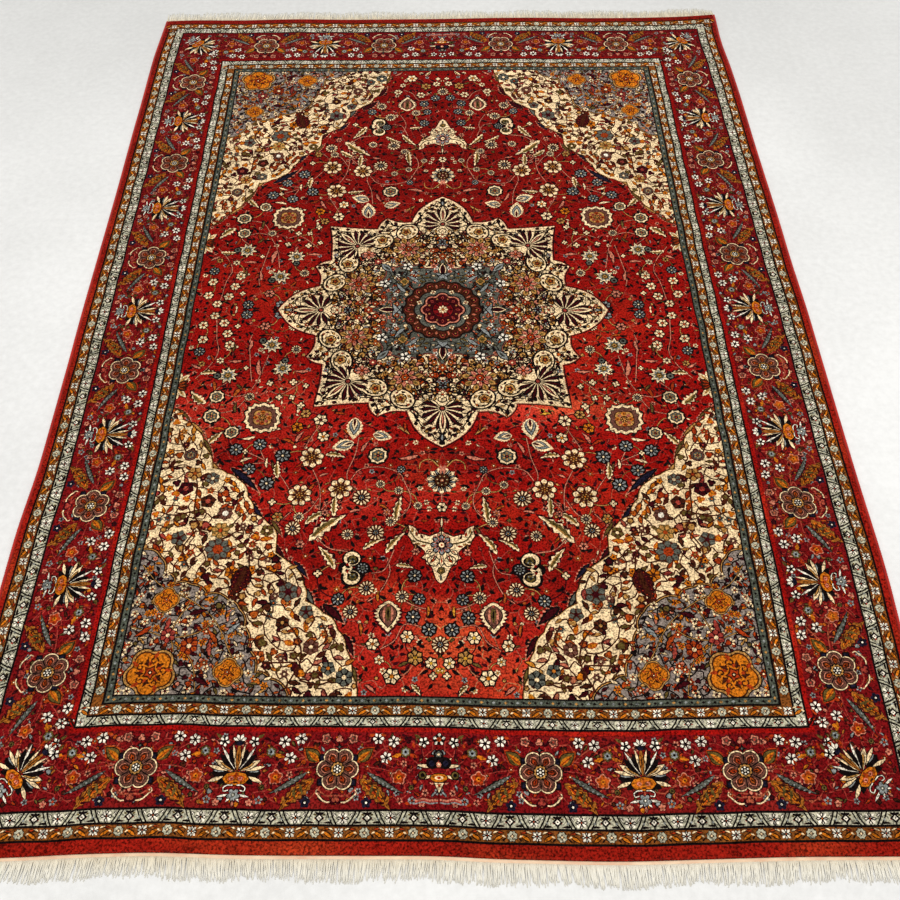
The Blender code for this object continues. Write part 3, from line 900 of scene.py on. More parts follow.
# %% Heart of the medallion
def heart():
    """The slate lobes and the dark rings round the middle flower."""
    shape = heart_outline()
    made = [("ink", grown(shape, 4.6)), ("blush", grown(shape, 2.2)), ("wine", grown(shape, 1.2)),
        ("slate", grown(shape, -1.4))]
    leaves = pairs("ink ink, mist ink, blush ink, olive ink, brown ink, rust ink, ink ink, olive ink, "
        "ivory ink, camel ink")
    small = (blossom(5, 8, "white", "ink"), blossom(5, 8, "rust", "ivory"),
        blossom(5, 8, "blush", "rust"))
    spots, _ = scatter(shape * (0.98, 0.98), 14.2, 15, [(0, 0, 112)], 1)
    spots = spots[(spots[:, 0] > -8) & (spots[:, 1] > -8)]
    made += foliage(spots, "ink", leaves, small, 16, 15.5, 2.8, 0.16, count=4)
    for a in (0, 45, 90):
        if a == 45:
            made += [("ink", stem([polar(r, a) for r in (112, 180, 244)], 3.4, 7))]
            made += place([("ink", petal(0, 52, 24, 1.1, 5)), ("mist", petal(4, 48, 17, 1.1, 5)),
                ("slate", petal(10, 40, 9, 1.1, 4)), ("ink", petal(16, 34, 3.4, 1.1))], *facing(200, a))
            made += place([("ink", lobed(6, 13, per=4)), ("rose", lobed(6, 10.6, per=4)),
                ("ivory", dot(3))], *polar(262, a))
            for s in (1, -1):
                made += [("ink", stem([polar(r, a + s * d) for r, d in ((140, 0), (166, 8), (196, 15))],
                    3.0, 7))]
                made += place(blossom(5, 15, "white", "ink", "ink", 0.85), *polar(192, a + 14 * s), 20)
                made += place(blossom(5, 11, "mist", "wine", "ink", 0.85), *polar(160, a + 17 * s), 20)
                made += place([("ink", leaf(46, 15, 0.3 * s, 3)), ("mist", leaf(42, 9.5, 0.3 * s, 3))],
                    *polar(122, a + 12 * s), a - 90 + 10 * s)
            made += place([("ink", lobed(4, 15, per=4)), ("camel", lobed(4, 13, per=4)),
                ("olive", lobed(4, 9, per=4))], *polar(150, a))
        else:
            made += place([("ink", petal(0, 62, 26, per=5)), ("ivory", petal(2, 59, 21, per=5)),
                ("wine", petal(4, 56, 16, per=5)), ("ink", petal(8, 50, 6))], *facing(118, a))
            for s in (1, -1):
                made += place([("ink", leaf(46, 18, 0.35 * s, 3)), ("mist", leaf(42, 11, 0.35 * s, 3))],
                    *polar(114, a + 7 * s), a - 90 - 38 * s)
                made += place(blossom(5, 11, "blush", "rust"), *polar(168, a + 9 * s))
                made += place(blossom(5, 9, "rust", "ivory"), *polar(188, a + 7 * s))
            made += place(blossom(6, 13, "rust", "ivory", "wine"), *polar(204, a))
    # rings
    made += [("ink", lobed(16, 112, 0.10, 5)), ("brown", lobed(16, 107, 0.10, 5))]
    made += around(16, [("wine", petal(-9, 9, 15, per=4)),
        ("rose", stem(((-8, -4), (-5, 6), (0, 9), (5, 6), (8, -4)), 2.0, 7)), ("camel", dot(2.6))], 93)
    made += around(16, [("blush", petal(-8, 7, 6)), ("rust", petal(-5, 4, 3, per=2))], 87, 11.25)
    made += [("ink", lobed(8, 80, 0.13, 7)), ("slate", lobed(8, 76.5, 0.13, 7)),
        ("ink", lobed(8, 65, 0.14, 7)), ("blush", lobed(8, 61, 0.2, 7)),
        ("wine", lobed(8, 56.5, 0.22, 7))]
    made += around(8, [("ink", leaf(15, 7, 0.4))], 66, 22.5)
    made += around(8, blossom(4, 8.2, "ivory", "rust"), 69.5, 22.5)
    made += around(8, [("rose", petal(-7, 7, 9, per=4)), ("wine", petal(-4, 4, 4))], 42)
    made += around(8, [("camel", dot(3.0)), ("rust", dot(1.5, 5))], 41, 22.5)
    made += [("ink", dot(31, 24)), ("crimson", dot(28.5, 24))]
    made += around(8, [("wine", petal(-7, 7, 7))], 22)
    return made + blossom(8, 15, "ivory", "gold", "wine") + [("rust", dot(2.2))]


print("heart:", len(heart()), "outlines")

# %% Medallion
def fan_palmette(reach, spread, petals):
    """Petals fanned over twice spread degrees, shorter the further they lean, with pale rays
    between them and a tall petal in front."""
    made = []
    for k in range(petals):
        a = -spread + 2 * spread * k / (petals - 1)
        r = reach * (1 - 0.22 * abs(a) / spread)
        made += place([("ink", petal(6, r, 15, 1.35, 5)), ("wine", petal(14, r - 5, 6, 1.3))], 0, 0, a)
        if k < petals - 1:
            made += place([("ivory", petal(10, r * 0.92, 6.4, 1.4, 4))], 0, 0,
                a + spread / (petals - 1))
    made += [("ink", petal(-4, reach * 1.16, 25, per=6)),
        ("ivory", petal(2, reach * 1.06, 17.5, per=6)), ("wine", petal(8, reach * 0.9, 9.5, per=5)),
        ("blush", petal(14, reach * 0.7, 3.6))]
    made += mirrored(place([("ink", petal(4, 46, 12, 1.3, 5)), ("ivory", petal(10, 40, 4.6, 1.3, 4))],
        0, -2, -128))
    made += [("ink", dot(9, 10)), ("rose", dot(5, 8))]
    return made


def ring_scroll():
    """A dark ring about a winding stem, with leaves inside it and a small flower at its middle."""
    made = [("ink", oval(33, 27, 20)), ("ivory", oval(29, 23, 20)),
        ("ink", ribbon(spiral(22, 1.1, 0.3, 14), 3.6, 0.3))]
    leaves = (("rust", 11), ("ink", 9), ("olive", 12), ("brown", 10), ("rose", 9), ("ink", 10),
        ("camel", 12), ("wine", 9))
    for k, (dye, size) in enumerate(leaves):
        a = k * 46
        (x, _), (_, y) = polar(22, a), polar(17, a)
        made += place([("ink", leaf(size * 1.1, size * 0.62)), (dye, leaf(size * 0.8, size * 0.34))], x,
            y, a + 20)
    return made + [("ink", lobed(5, 14.5, 0.35, 4) + (-3, 2)),
        ("camel", lobed(5, 12.5, 0.35, 4) + (-3, 2)), ("brown", lobed(5, 8, 0.35, 4) + (-3, 2)),
        ("rust", dot(3, 6, -3, 2))]


def lotus():
    """A round flower of nine dark outer petals and eight pale inner ones."""
    made = around(9, [("brown", petal(20, 50, 21, per=5)), ("camel", petal(22, 47, 15.5, per=5)),
        ("olive", petal(26, 40, 7))])
    made += around(8, [("wine", petal(8, 34, 15, 1.3, 4)), ("blush", petal(10, 31, 10.5, 1.3, 4)),
        ("rose", petal(12, 24, 4.6, 1.3))], first=20)
    return made + [("wine", dot(13, 12)), ("rust", lobed(6, 10.5, 0.25, 4)), ("ink", dot(4.5, 7)),
        ("ivory", dot(2, 5))]


def medallion():
    """All that lies within the star: its fill, toothed edge, scrolls, palmettes and flowers."""
    shape = medallion_outline()
    made = [("ink", grown(shape, 4.2)), ("rose", grown(shape, 1.0)), ("ivory", grown(shape, -1.0)),
        ("ink", grown(shape, -15)), ("ivory", grown(shape, -18))]
    leaves = pairs("ink ink, ink ink, camel ink, rust ink, ivory ink, olive ink, blush ink, brown ink, "
        "ivory ink, ink brown, wine ink")
    small = (blossom(5, 8, "rust", "ivory"), blossom(6, 8, "wine", "blush"),
        blossom(5, 8, "mist", "rust"), blossom(5, 8, "camel", "wine"))
    off = [(*polar(340, 0), 38), (*polar(340, 90), 38), (*polar(352, 45), 40)]
    off += [(*polar(322, a), 27) for a in (18.7, 33.6, 56.4, 71.3)]
    off += [(*polar(255, a), 34) for a in (22.5, 67.5)]
    quarter = np.concatenate((((446, 0),), grown(shape, -7)[(shape[:, 0] > 9) & (shape[:, 1] > 9)],
        ((0, 446), (-8, 446), (-8, -8), (446, -8))))
    # small flowers between the heart and the rings
    chance = np.random.default_rng(51)
    petals = pairs("camel ink, blush ink, ivory ink, ivory ink, ivory ink, rust ink, ochre ink")
    spots, _ = scatter(quarter, 21, 50, (), 0)
    for x, y in outside(spots[np.hypot(*spots.T) < 312], grown(heart_outline(), 6)):
        dye, rim = petals[chance.integers(0, len(petals))]
        made += place([(rim, lobed(5, 13.4)), (dye, lobed(5, 9.4)), (rim, dot(2.8, 5))], x, y,
            chance.uniform(0, 72))
    spots, _ = scatter(quarter, 13.8, 5, off, 0)
    spots = outside(spots, grown(heart_outline(), 8))
    made += foliage(spots, "ink", leaves, small, 6, 15.5, 3.3, 0.14, count=4)
    # a dark serrated line inside the edge
    line = grown(shape, -8)[::2]
    line = line[(line[:, 0] > -8) & (line[:, 1] > -8)]
    for k, (x, y) in enumerate(line):
        turn, dye = heading_of((x, y)) + 180 + 32 * (-1) ** k, "wine" if k % 2 else "ink"
        made += place([("ink", leaf(15, 11, 0.2)), (dye, leaf(10, 6, 0.2))], x * 1.005, y * 1.005, turn)
    # dark scroll lines that carry the rings
    scroll = ((286, 5), (304, 13.5), (334, 14), (360, 10), (380, 6))
    for a in (0, 45, 90):
        for s in (1, -1):
            made += [("ink", stem([polar(r, a + s * d) for r, d in scroll], 4.0, 14, 0.4))]
    for a, way in ((18.7, 1), (71.3, -1), (33.6, -1), (56.4, 1)):
        made += place(ring_scroll(), *facing(322, a, 20 * way), 1.16, way)
    for a in (0, 90):
        made += place(fan_palmette(74, 112, 10), *facing(336, a))
        made += place([("ink", petal(0, 26, 13, per=4)), ("mist", petal(4, 22, 6))], *facing(413, a))
    made += place(fan_palmette(72, 134, 12), *facing(350, 45))
    for a in (22.5, 67.5):
        made += place(lotus(), *facing(255, a), 0.98)
    made += place(blossom(6, 17, "blush", "rust"), *polar(300, 45))
    for a in (0, 90):
        made += place(blossom(6, 13, "ivory", "rust"), *polar(292, a))
        made += place(grey_star(12, "mist", "wine", 6), *polar(262, a))
        for b in (a + 7, a - 7):
            made += place(blossom(6, 11, "rust", "ivory", "wine"), *polar(230, b))
    return made + heart()


print("medallion:", len(medallion()), "outlines")

# %% [markdown]
# ## Corners
#
# Each corner of the field is cut off by an ivory form with a scalloped edge, and that again by a
# slate one. Serrated leaves lie along the outer side of the scallops, brown stems and flowers fill
# the ivory, and orange clouds lie in the slate.

# %% Edges and places of the corners
SPANDREL = (
    (684, 338), (662, 372), (628, 402), (600, 452), (566, 520), (528, 536), (500, 552), (468, 600),
    (448, 646), (410, 672), (388, 700), (386, 748), (338, 782), (312, 828), (306, 868), (262, 898),
    (228, 938), (206, 980), (190, 1040), (176, 1080),
)
SPANDREL_BOW = (0.12, 0.1, 0.16, 0.12, 0.1, 0.1, 0.14, 0.12, 0.1, 0.1, 0.0, 0.0, 0.1, 0.12, 0.06, 0.14,
    0.12, 0.08, 0.08)
SUBCORNER = (
    (684, 742), (652, 762), (636, 802), (606, 832), (566, 834), (530, 858), (478, 870), (452, 890),
    (436, 930), (424, 980), (400, 1036), (366, 1050), (326, 1080),
)
SUBCORNER_BOW = (0.15, 0.15, 0.2, 0.15, 0.15, 0.15, 0.15, 0.15, 0.15, 0.15, 0.15, 0.15)
EDGE_LEAVES = (  # share of the edge, length, width, dye, inner dye
    (0.03, 62, 12, "brown", "olive"), (0.095, 66, 13, "brown", "camel"), (0.165, 70, 13, "brown",
        "olive"),
    (0.235, 66, 14, "brown", "camel"), (0.325, 104, 22, "ink", "navy"), (0.425, 74, 15, "ink", "navy"),
    (0.50, 54, 13, "brown", "olive"), (0.57, 66, 14, "ink", "wine"), (0.645, 56, 15, "ink", "navy"),
    (0.72, 60, 18, "ink", "slate"), (0.80, 68, 26, "ink", "wine"), (0.885, 60, 18, "ink", "wine"),
    (0.955, 52, 13, "brown", "olive"),
)
CORNER_FLOWERS = (  # a form and its arguments, then x, y, turn, size
    (blossom, (8, 30, "slate", "rust", "brown", 1.0, 0.42), 520, 742, 0, 1.0),
    (blossom, (6, 24, "slate", "wine", "brown", 1.0, 0.35), 346, 846, 0, 1.0),
    (blossom, (8, 19, "taupe", "white", "brown", 1.0, 0.4), 516, 646, 0, 1.0),
    (blossom, (5, 20, "wine", "rose", "ink", 1.0, 0.35), 622, 576, 0, 1.0),
    (blossom, (5, 19, "brown", "rose", "ink", 1.0, 0.35), 562, 612, 30, 1.0),
    (ringed, (17, "taupe"), 626, 480, 0, 1.0),
    (blossom, (6, 17, "slate", "ivory", "brown"), 560, 548, 0, 1.0),
    (blossom, (5, 19, "camel", "rust", "brown"), 606, 534, 0, 1.0),
    (blossom, (7, 20, "camel", "rust", "olive"), 520, 692, 0, 1.1),
    (blossom, (5, 20, "slate", "wine", "brown"), 614, 712, 20, 1.0),
    (blossom, (6, 20, "slate", "ivory", "ink"), 206, 1044, 0, 1.0),
    (blossom, (5, 16, "slate", "rust", "ink"), 242, 1024, 0, 1.0),
    (blossom, (6, 18, "taupe", "ivory", "brown"), 282, 976, 0, 1.0),
    (blossom, (5, 17, "slate", "wine", "brown"), 300, 894, 0, 1.0),
    (blossom, (5, 17, "rust", "ivory", "brown"), 396, 1000, 0, 1.0),
    (blossom, (6, 16, "brown", "camel", "ink"), 350, 920, 0, 1.0),
    (blossom, (5, 16, "olive", "ivory", "brown"), 410, 690, 0, 1.0),
    (blossom, (6, 17, "gold", "brown", "brown"), 480, 800, 0, 1.0),
)
CORNER_VINES = (
    ((684, 520), (630, 510), (596, 560), (590, 640), (560, 700)),
    ((590, 640), (640, 650), (672, 640)), ((560, 690), (500, 700), (450, 740), (440, 790)),
    ((575, 690), (600, 740), (580, 790)), ((430, 700), (470, 690), (520, 720)),
    ((330, 1070), (300, 1000), (330, 930), (400, 900)), ((300, 1000), (250, 960), (262, 920)),
    ((310, 1010), (380, 1010), (420, 990)), ((300, 1050), (260, 1060), (230, 1050)),
    ((420, 780), (380, 800), (350, 830)), ((640, 470), (660, 430), (664, 400)),
)
SLATE_VINES = (
    ((684, 780), (640, 830), (560, 870), (500, 920), (450, 1000)),
    ((684, 930), (600, 960), (540, 1010), (520, 1077)), ((560, 870), (590, 940), (580, 990)),
    ((500, 920), (540, 950), (600, 960)),
)
SLATE_LEAVES = (  # x, y, turn, dye
    (510, 945, 50, "rust"), (560, 905, 120, "wine"), (640, 930, -40, "rust"), (500, 1000, 200, "rose"),
    (530, 1050, 80, "wine"), (650, 985, 20, "mist"), (600, 910, 0, "rose"), (470, 950, 150, "mist"),
)
CLOUDS = ((616, 868, 28, 4), (455, 1034, 30, 4), (622, 1036, 52, 5))  # x, y, radius, lobes


def region(points, bows, corner):
    """A great form: a scalloped line, closed by the field's corner points."""
    return np.concatenate((cusps(points, bows), np.array(corner, float)))


IVORY_CORNER = region(SPANDREL, SPANDREL_BOW, ((176, 1100), (700, 1100), (700, 338)))
SLATE_CORNER = region(SUBCORNER, SUBCORNER_BOW, ((326, 1100), (700, 1100), (700, 742)))
print("ivory corner:", len(IVORY_CORNER), "points;", len(CORNER_FLOWERS), "flowers")

# %% [markdown]
# Every leaf of the edge finds its place by its share of the edge's length, and lies along it.
# The foliage is drawn first, and the flowers, whose places it keeps clear of, last.

# %% Corners
def orange_cloud(radius, lobes):
    """A lobed cloud, orange inside pale and dark rims, broken up with brown and red scrolls."""
    rims = (("ink", 1.16, 0.26), ("camel", 1.1, 0.26), ("brown", 1.01, 0.28), ("gold", 0.94, 0.3))
    made = [(dye, lobed(lobes, radius * size, depth, 7, 0.75, TURN / 24)) for dye, size, depth in rims]
    made += around(lobes, [("brown", ribbon(spiral(radius * 0.19, 1.0, 0.3, 8), radius * 0.07)),
        ("rust", leaf(radius * 0.34, radius * 0.2, 0.2, 3, 3) + (0, radius * 0.1)),
        ("wine", dot(radius * 0.06, 4, radius * 0.2, -radius * 0.1))], radius * 0.5, 15)
    made += around(lobes, [("brown", leaf(radius * 0.4, radius * 0.16)),
        ("rust", leaf(radius * 0.22, radius * 0.14) + (radius * 0.1, 0))], radius * 0.26,
        15 + 180 / lobes)
    return made + [("brown", pointed(5, radius * 0.36, 0.4, 3)),
        ("rust", pointed(5, radius * 0.26, 0.4, 3)), ("ink", dot(radius * 0.1)),
        ("ivory", dot(radius * 0.05, 4))]


def feathered(length, width, dyes, seed):
    """A full leaf of small florets, as dark and thick as a feather."""
    chance = np.random.default_rng(seed)
    made = [("ink", leaf(length, width, 0.2, 3, 6, 0.2)),
        (dyes[0], leaf(length * 0.9, width * 0.8, 0.2, 4) + (0, length * 0.04))]
    for s in np.arange(0.16, 0.95, 0.13):
        wide = width * 0.26 * np.sin(np.pi * s**0.8)
        for side in (-1, 1):
            made += place([(dyes[1], pointed(4, 2.5 + wide * 0.5, 0.45, 2)), (dyes[2], dot(1.7, 4))],
                0.2 * length * s**2 + side * wide, length * s, chance.uniform(0, 90))
    return made


def spandrel():
    """The ivory corner with its leaves and flowers, then the slate corner with its clouds. d is
    the way along the edge at a leaf, and n the way off it, out of the corner."""
    shape, sub = IVORY_CORNER, SLATE_CORNER
    edge = cusps(SPANDREL, SPANDREL_BOW)
    run = np.concatenate(([0.0], np.cumsum(np.hypot(*np.diff(edge, axis=0).T))))
    made = []
    for share, length, width, dye, inner in EDGE_LEAVES:
        near = (share, share + 0.03, share - 0.03)
        a, b, c = (np.array([np.interp(s * run[-1], run, edge[:, k]) for k in (0, 1)]) for s in near)
        d = (b - c) / np.hypot(*(b - c))
        d = -d if d[1] < 0 else d
        left = np.array((-d[1], d[0]))
        n = -left if inside((a + 9 * left)[None], shape)[0] else left
        turn = heading_of(d) + (9 if n[0] < 0 else -9)
        made += place([("blush", leaf(length * 1.08, width * 1.45, 0.1, 3, 7, 0.5)),
            (dye, leaf(length, width * 1.1, 0.1, 3, 6, 0.3)),
            (inner, leaf(length * 0.8, width * 0.5, 0.1, 4) + (0, length * 0.08))],
            *(a + n * width * 0.35 - d * length * 0.5), turn)
    made += [("ink", grown(shape, 3.8)), ("camel", grown(shape, 1.4)), ("ivory", shape)]
    off = [(x, y, 21 * s) for _, _, x, y, _, s in CORNER_FLOWERS]
    spots, _ = scatter(shape, 20.5, 21, off, 5)
    spots = outside(spots, grown(sub, 6))
    leaves = pairs("rust brown, rust brown, rust wine, brown wine, olive brown, olive brown, "
        "gold brown, wine ink, brown ink, camel brown, rose wine, gold rust")
    small = (blossom(5, 11, "wine", "rose"), blossom(6, 11, "taupe", "ivory", "brown"),
        blossom(5, 11, "rust", "camel", "brown"), blossom(6, 10, "slate", "rust"),
        [("brown", pointed(5, 12, 0.4, 3)), ("gold", pointed(5, 9, 0.4, 3)), ("wine", dot(3, 5))])
    first = int(np.argmin(np.hypot(*(spots - (640, 650)).T)))
    made += foliage(spots, "brown", leaves, small, 22, 26, 3.3, 0.12, first=first, count=5)
    made += [("brown", stem(v, 3.8, 18)) for v in CORNER_VINES]
    for form, sizes, x, y, turn, size in CORNER_FLOWERS:
        made += place(form(*sizes), x, y, turn, size)
    made += place(feathered(84, 50, ("brown", "wine", "rust"), 4), 448, 780, -6)
    # the slate corner inside it
    made += [("brown", grown(sub, 7.6)), ("camel", grown(sub, 4.6)), ("ink", grown(sub, 2.8)),
        ("ash", sub)]
    off = [cloud[:3] for cloud in CLOUDS]
    spots, _ = scatter(sub, 14.8, 33, off, 2)
    leaves = pairs("wine ink, rust ink, rust wine, ivory ink, brown ink, rust wine, olive ink, "
        "camel ink, blush ink, gold ink, ink ink, rust ink, wine ink, gold brown")
    small = (blossom(6, 10, "rust", "ivory"), blossom(6, 10, "ivory", "wine"),
        blossom(5, 9, "ivory", "rust"), blossom(6, 10, "gold", "rust"))
    made += foliage(spots, "ink", leaves, small, 34, 18, 3.2, 0.22, count=4)
    for line in SLATE_VINES:
        made += [("ink", stem(line, 3.8, 18)), ("camel", stem(line, 1.5, 18))]
    for x, y, turn, dye in SLATE_LEAVES:
        made += place([("ink", leaf(42, 18, 0.25, 3, 4)), (dye, leaf(38, 11, 0.25, 3, 4))], x, y, turn)
    made += place(blossom(6, 20, "rust", "ivory", "wine"), 548, 978)
    made += place(blossom(6, 18, "rose", "ivory", "wine"), 598, 952)
    for x, y, r, n in CLOUDS:
        made += place(orange_cloud(r, n), x, y, 12)
    return made


print("corner:", len(spandrel()), "outlines")

# %% [markdown]
# ## Field
#
# The red ground is the last large zone. Its flowers are set one by one: a table gives each motif
# its places. Thin stems join neighbours, broad pale ones wind between them, and fine dark foliage
# lies below everything.

# %% Places in the field
FIELD = listed(1, (  # a motif and its places: x, y, turn, size
    (spiky, (460, 126, 25, 1.0), (423, 205, -40, 0.95), (566, 230, 60, 1.0)),
    (ringed, (584, 300, 0, 0.95), (590, 362, 0, 1.05), (533, 412, 0, 0.9)),
    (framed_rosette, (459, 366, 0, 0.95)),
    (daisy, (324, 485, 10, 1.02), (246, 574, 0, 1.0), (343, 593, 20, 1.02)),
    (boteh, (221, 398, 0, 1.0), (248, 450, -70, 0.85)),
    (ringed, (159, 480, 0, 1.15)),
    (boteh, (151, 421, 80, 0.75)),
    (serrated_bud, (117, 905, 0, 1.0)),
    (double_palmette, (205, 787, 0, 0.92)),
    (grey_star, (396, 480, 0, 1.05), (455, 448, 20, 0.95), (514, 464, 10, 1.0), (476, 520, 0, 0.95),
        (428, 560, 15, 1.05), (61, 907, 0, 0.9), (49, 864, 10, 0.8), (60, 806, 0, 0.9),
        (231, 864, 0, 0.85), (25, 936, 20, 0.9), (540, 18, 0, 0.9), (651, 148, 0, 0.85),
        (100, 520, 0, 0.6)),
    (tuft, (193, 600, 0, 1.15), (155, 694, 0, 1.05), (351, 684, 0, 1.0), (87, 858, 0, 0.8),
        (169, 837, 0, 0.95), (201, 894, 0, 0.9), (220, 700, 0, 0.75), (150, 562, 0, 0.6),
        (105, 580, 0, 0.6), (339, 653, 0, 0.7), (58, 622, 0, 0.55), (392, 140, 0, 0.75),
        (405, 60, 0, 0.8), (500, 300, 0, 0.7), (120, 665, 0, 0.7), (0, 970, 0, 1.0)),
    (cross, (390, 250, 0, 1.0), (451, 255, 20, 0.9), (423, 300, 0, 0.9), (389, 300, 30, 0.85),
        (364, 326, 0, 0.95), (356, 262, 10, 0.8), (408, 612, 0, 0.9), (490, 470, 0, 0.7),
        (560, 60, 0, 0.8), (520, 205, 0, 0.7), (282, 800, 0, 0.9), (15, 1040, 0, 0.8)),
))
SMALL_FLOWERS = listed(2, (  # petals' dye, eye's dye, and the places: x, y, radius
    ("ivory", "rust", (598, 49, 14), (655, 55, 14), (584, 87, 14), (649, 106, 14), (573, 126, 14),
        (626, 22, 13)),
    ("ivory", "wine", (592, 180, 11)),
    ("blush", "wine", (484, 60, 14)),
    ("ivory", "wine", (310, 371, 17)),
    ("ivory", "gold", (298, 423, 15)),
    ("gold", "wine", (366, 394, 15)),
    ("camel", "wine", (349, 352, 13)),
    ("camel", "rust", (390, 653, 13)),
    ("ivory", "rust", (73, 953, 15), (148, 969, 14)),
    ("camel", "rust", (55, 1000, 17)),
    ("ivory", "rust", (132, 1005, 11)),
    ("ivory", "gold", (103, 1042, 18)),
    ("ivory", "ink", (0, 626, 13)),
    ("mist", "wine", (450, 20, 13)),
    ("blush", "wine", (330, 725, 11)),
    ("ivory", "rust", (20, 1012, 13)),
    ("blush", "wine", (60, 745, 10)),
    ("blush", "rust", (130, 640, 10)),
    ("blush", "wine", (278, 640, 9)),
    ("camel", "wine", (640, 190, 10)),
))
LEAVES = (  # x, y, turn, length, width, bend
    (108, 668, 180, 74, 19, 0.08), (256, 652, 186, 66, 17, 0.06), (322, 672, 142, 62, 18, 0.15),
    (310, 716, 142, 108, 28, 0.12), (245, 790, 200, 72, 20, -0.15), (610, 320, -108, 56, 24, 0.25),
    (290, 478, 110, 46, 15, 0.3), (470, 400, 100, 62, 20, 0.1), (128, 748, 160, 66, 17, 0.2),
    (590, 452, 150, 56, 18, 0.1), (105, 780, 100, 40, 12, 0.2), (402, 545, -165, 52, 17, 0.1),
    (640, 225, 120, 44, 15, 0.3), (60, 1060, 60, 30, 11, 0.2), (500, 600, 60, 30, 11, 0.2),
    (180, 740, 150, 50, 13, 0.3),
)
SLIVERS = listed(1, (  # a dye and its places: x, y, turn, length
    ("blush", (352, 212, -70, 36), (424, 245, 200, 34), (515, 110, 10, 36), (535, 180, -70, 34),
        (478, 230, 210, 52), (640, 205, -100, 30)),
    ("ivory", (370, 350, 180, 38), (470, 425, -60, 34), (500, 500, 130, 30), (432, 515, 200, 28)),
    ("blush", (450, 575, 240, 26), (200, 470, 175, 34), (366, 440, 170, 36)),
    ("rust", (250, 400, 60, 26), (330, 420, -40, 30), (400, 430, 80, 34), (275, 350, 100, 30)),
    ("camel", (110, 395, 70, 34)),
    ("rust", (96, 380, 20, 26), (540, 300, 170, 40), (600, 250, 30, 34)),
    ("olive", (90, 1020, 130, 26)),
    ("blush", (160, 1060, 70, 30)),
    ("rust", (180, 920, 30, 28), (140, 870, 200, 26), (30, 880, 20, 24)),
    ("blush", (262, 560, 10, 24)),
    ("rust", (310, 560, -20, 26), (280, 700, 60, 24), (30, 700, -40, 30), (150, 620, 80, 24)),
    ("olive", (560, 150, 190, 26)),
    ("blush", (60, 480, -60, 44)),
    ("rust", (620, 160, 40, 26), (480, 90, 100, 26), (430, 90, 60, 24)),
    ("olive", (540, 260, 60, 26), (420, 500, 30, 24)),
    ("rust", (345, 500, -30, 22), (580, 400, 100, 30)),
    ("olive", (530, 350, 200, 30)),
    ("blush", (220, 640, 120, 26), (300, 540, 130, 22)),
    ("olive", (90, 700, 170, 24)),
))
VINES = (
    ((300, 705), (292, 640), (296, 570), (318, 520)), ((292, 640), (270, 612), (250, 600)),
    ((296, 600), (320, 640), (352, 655)), ((352, 620), (380, 560), (430, 500), (500, 465)),
    ((430, 500), (470, 505), (482, 512)), ((400, 540), (425, 550)), ((440, 490), (452, 465)),
    ((210, 425), (216, 480), (232, 530), (228, 560)),
    ((90, 560), (105, 530), (150, 513), (200, 520), (222, 550)),
    ((90, 560), (75, 600), (85, 640), (120, 665)), ((310, 390), (330, 430), (345, 460)),
    ((500, 250), (512, 180), (520, 120), (515, 90)), ((500, 280), (480, 235), (465, 160)),
    ((500, 290), (540, 300), (570, 290)), ((500, 290), (530, 340), (580, 355)),
    ((125, 760), (118, 800), (140, 850), (165, 870)),
    ((620, 30), (612, 100), (600, 150), (620, 200), (650, 240)),
    ((300, 700), (262, 735), (215, 745)), ((110, 740), (130, 790), (160, 800)),
    ((20, 890), (60, 880), (110, 850)), ((40, 930), (80, 925), (100, 960), (130, 980)),
    ((0, 650), (0, 700)), ((0, 590), (0, 620)), ((420, 690), (390, 670), (360, 640)),
    ((560, 250), (590, 280), (600, 330)), ((360, 240), (390, 270), (420, 290), (450, 280)),
)
print(len(FIELD), "motifs,", len(SMALL_FLOWERS), "small flowers,", len(SLIVERS), "thin leaves")

# %% Field
def tendrils(spots, dyes, seed):
    """Thin bowed stems that join each flower to its two nearest neighbours, if they are near enough."""
    reach, width, bow = 150, 2.2, 0.22
    chance = np.random.default_rng(seed)
    spots = np.array(spots, float)
    made, done = [], set()
    for i, here in enumerate(spots):
        far = np.hypot(*(spots - here).T)
        for j in np.argsort(far)[1:3]:
            if far[j] > reach or (min(i, j), max(i, j)) in done:
                continue
            done.add((min(i, j), max(i, j)))
            there = spots[j]
            across = np.array((here[1] - there[1], there[0] - here[0])) * chance.choice((-1, 1)) * bow
            bend = here * 0.65 + there * 0.35 + across, here * 0.3 + there * 0.7 + across * 0.8
            line = curve((here, *bend, there), 7)
            dye, rim = dyes[chance.integers(0, len(dyes))]
            made += [(rim, ribbon(line, width + 2.6))] if rim else []
            made += [(dye, ribbon(line, width * (1.4 if dye == "wine" else 1.0)))]
    return made


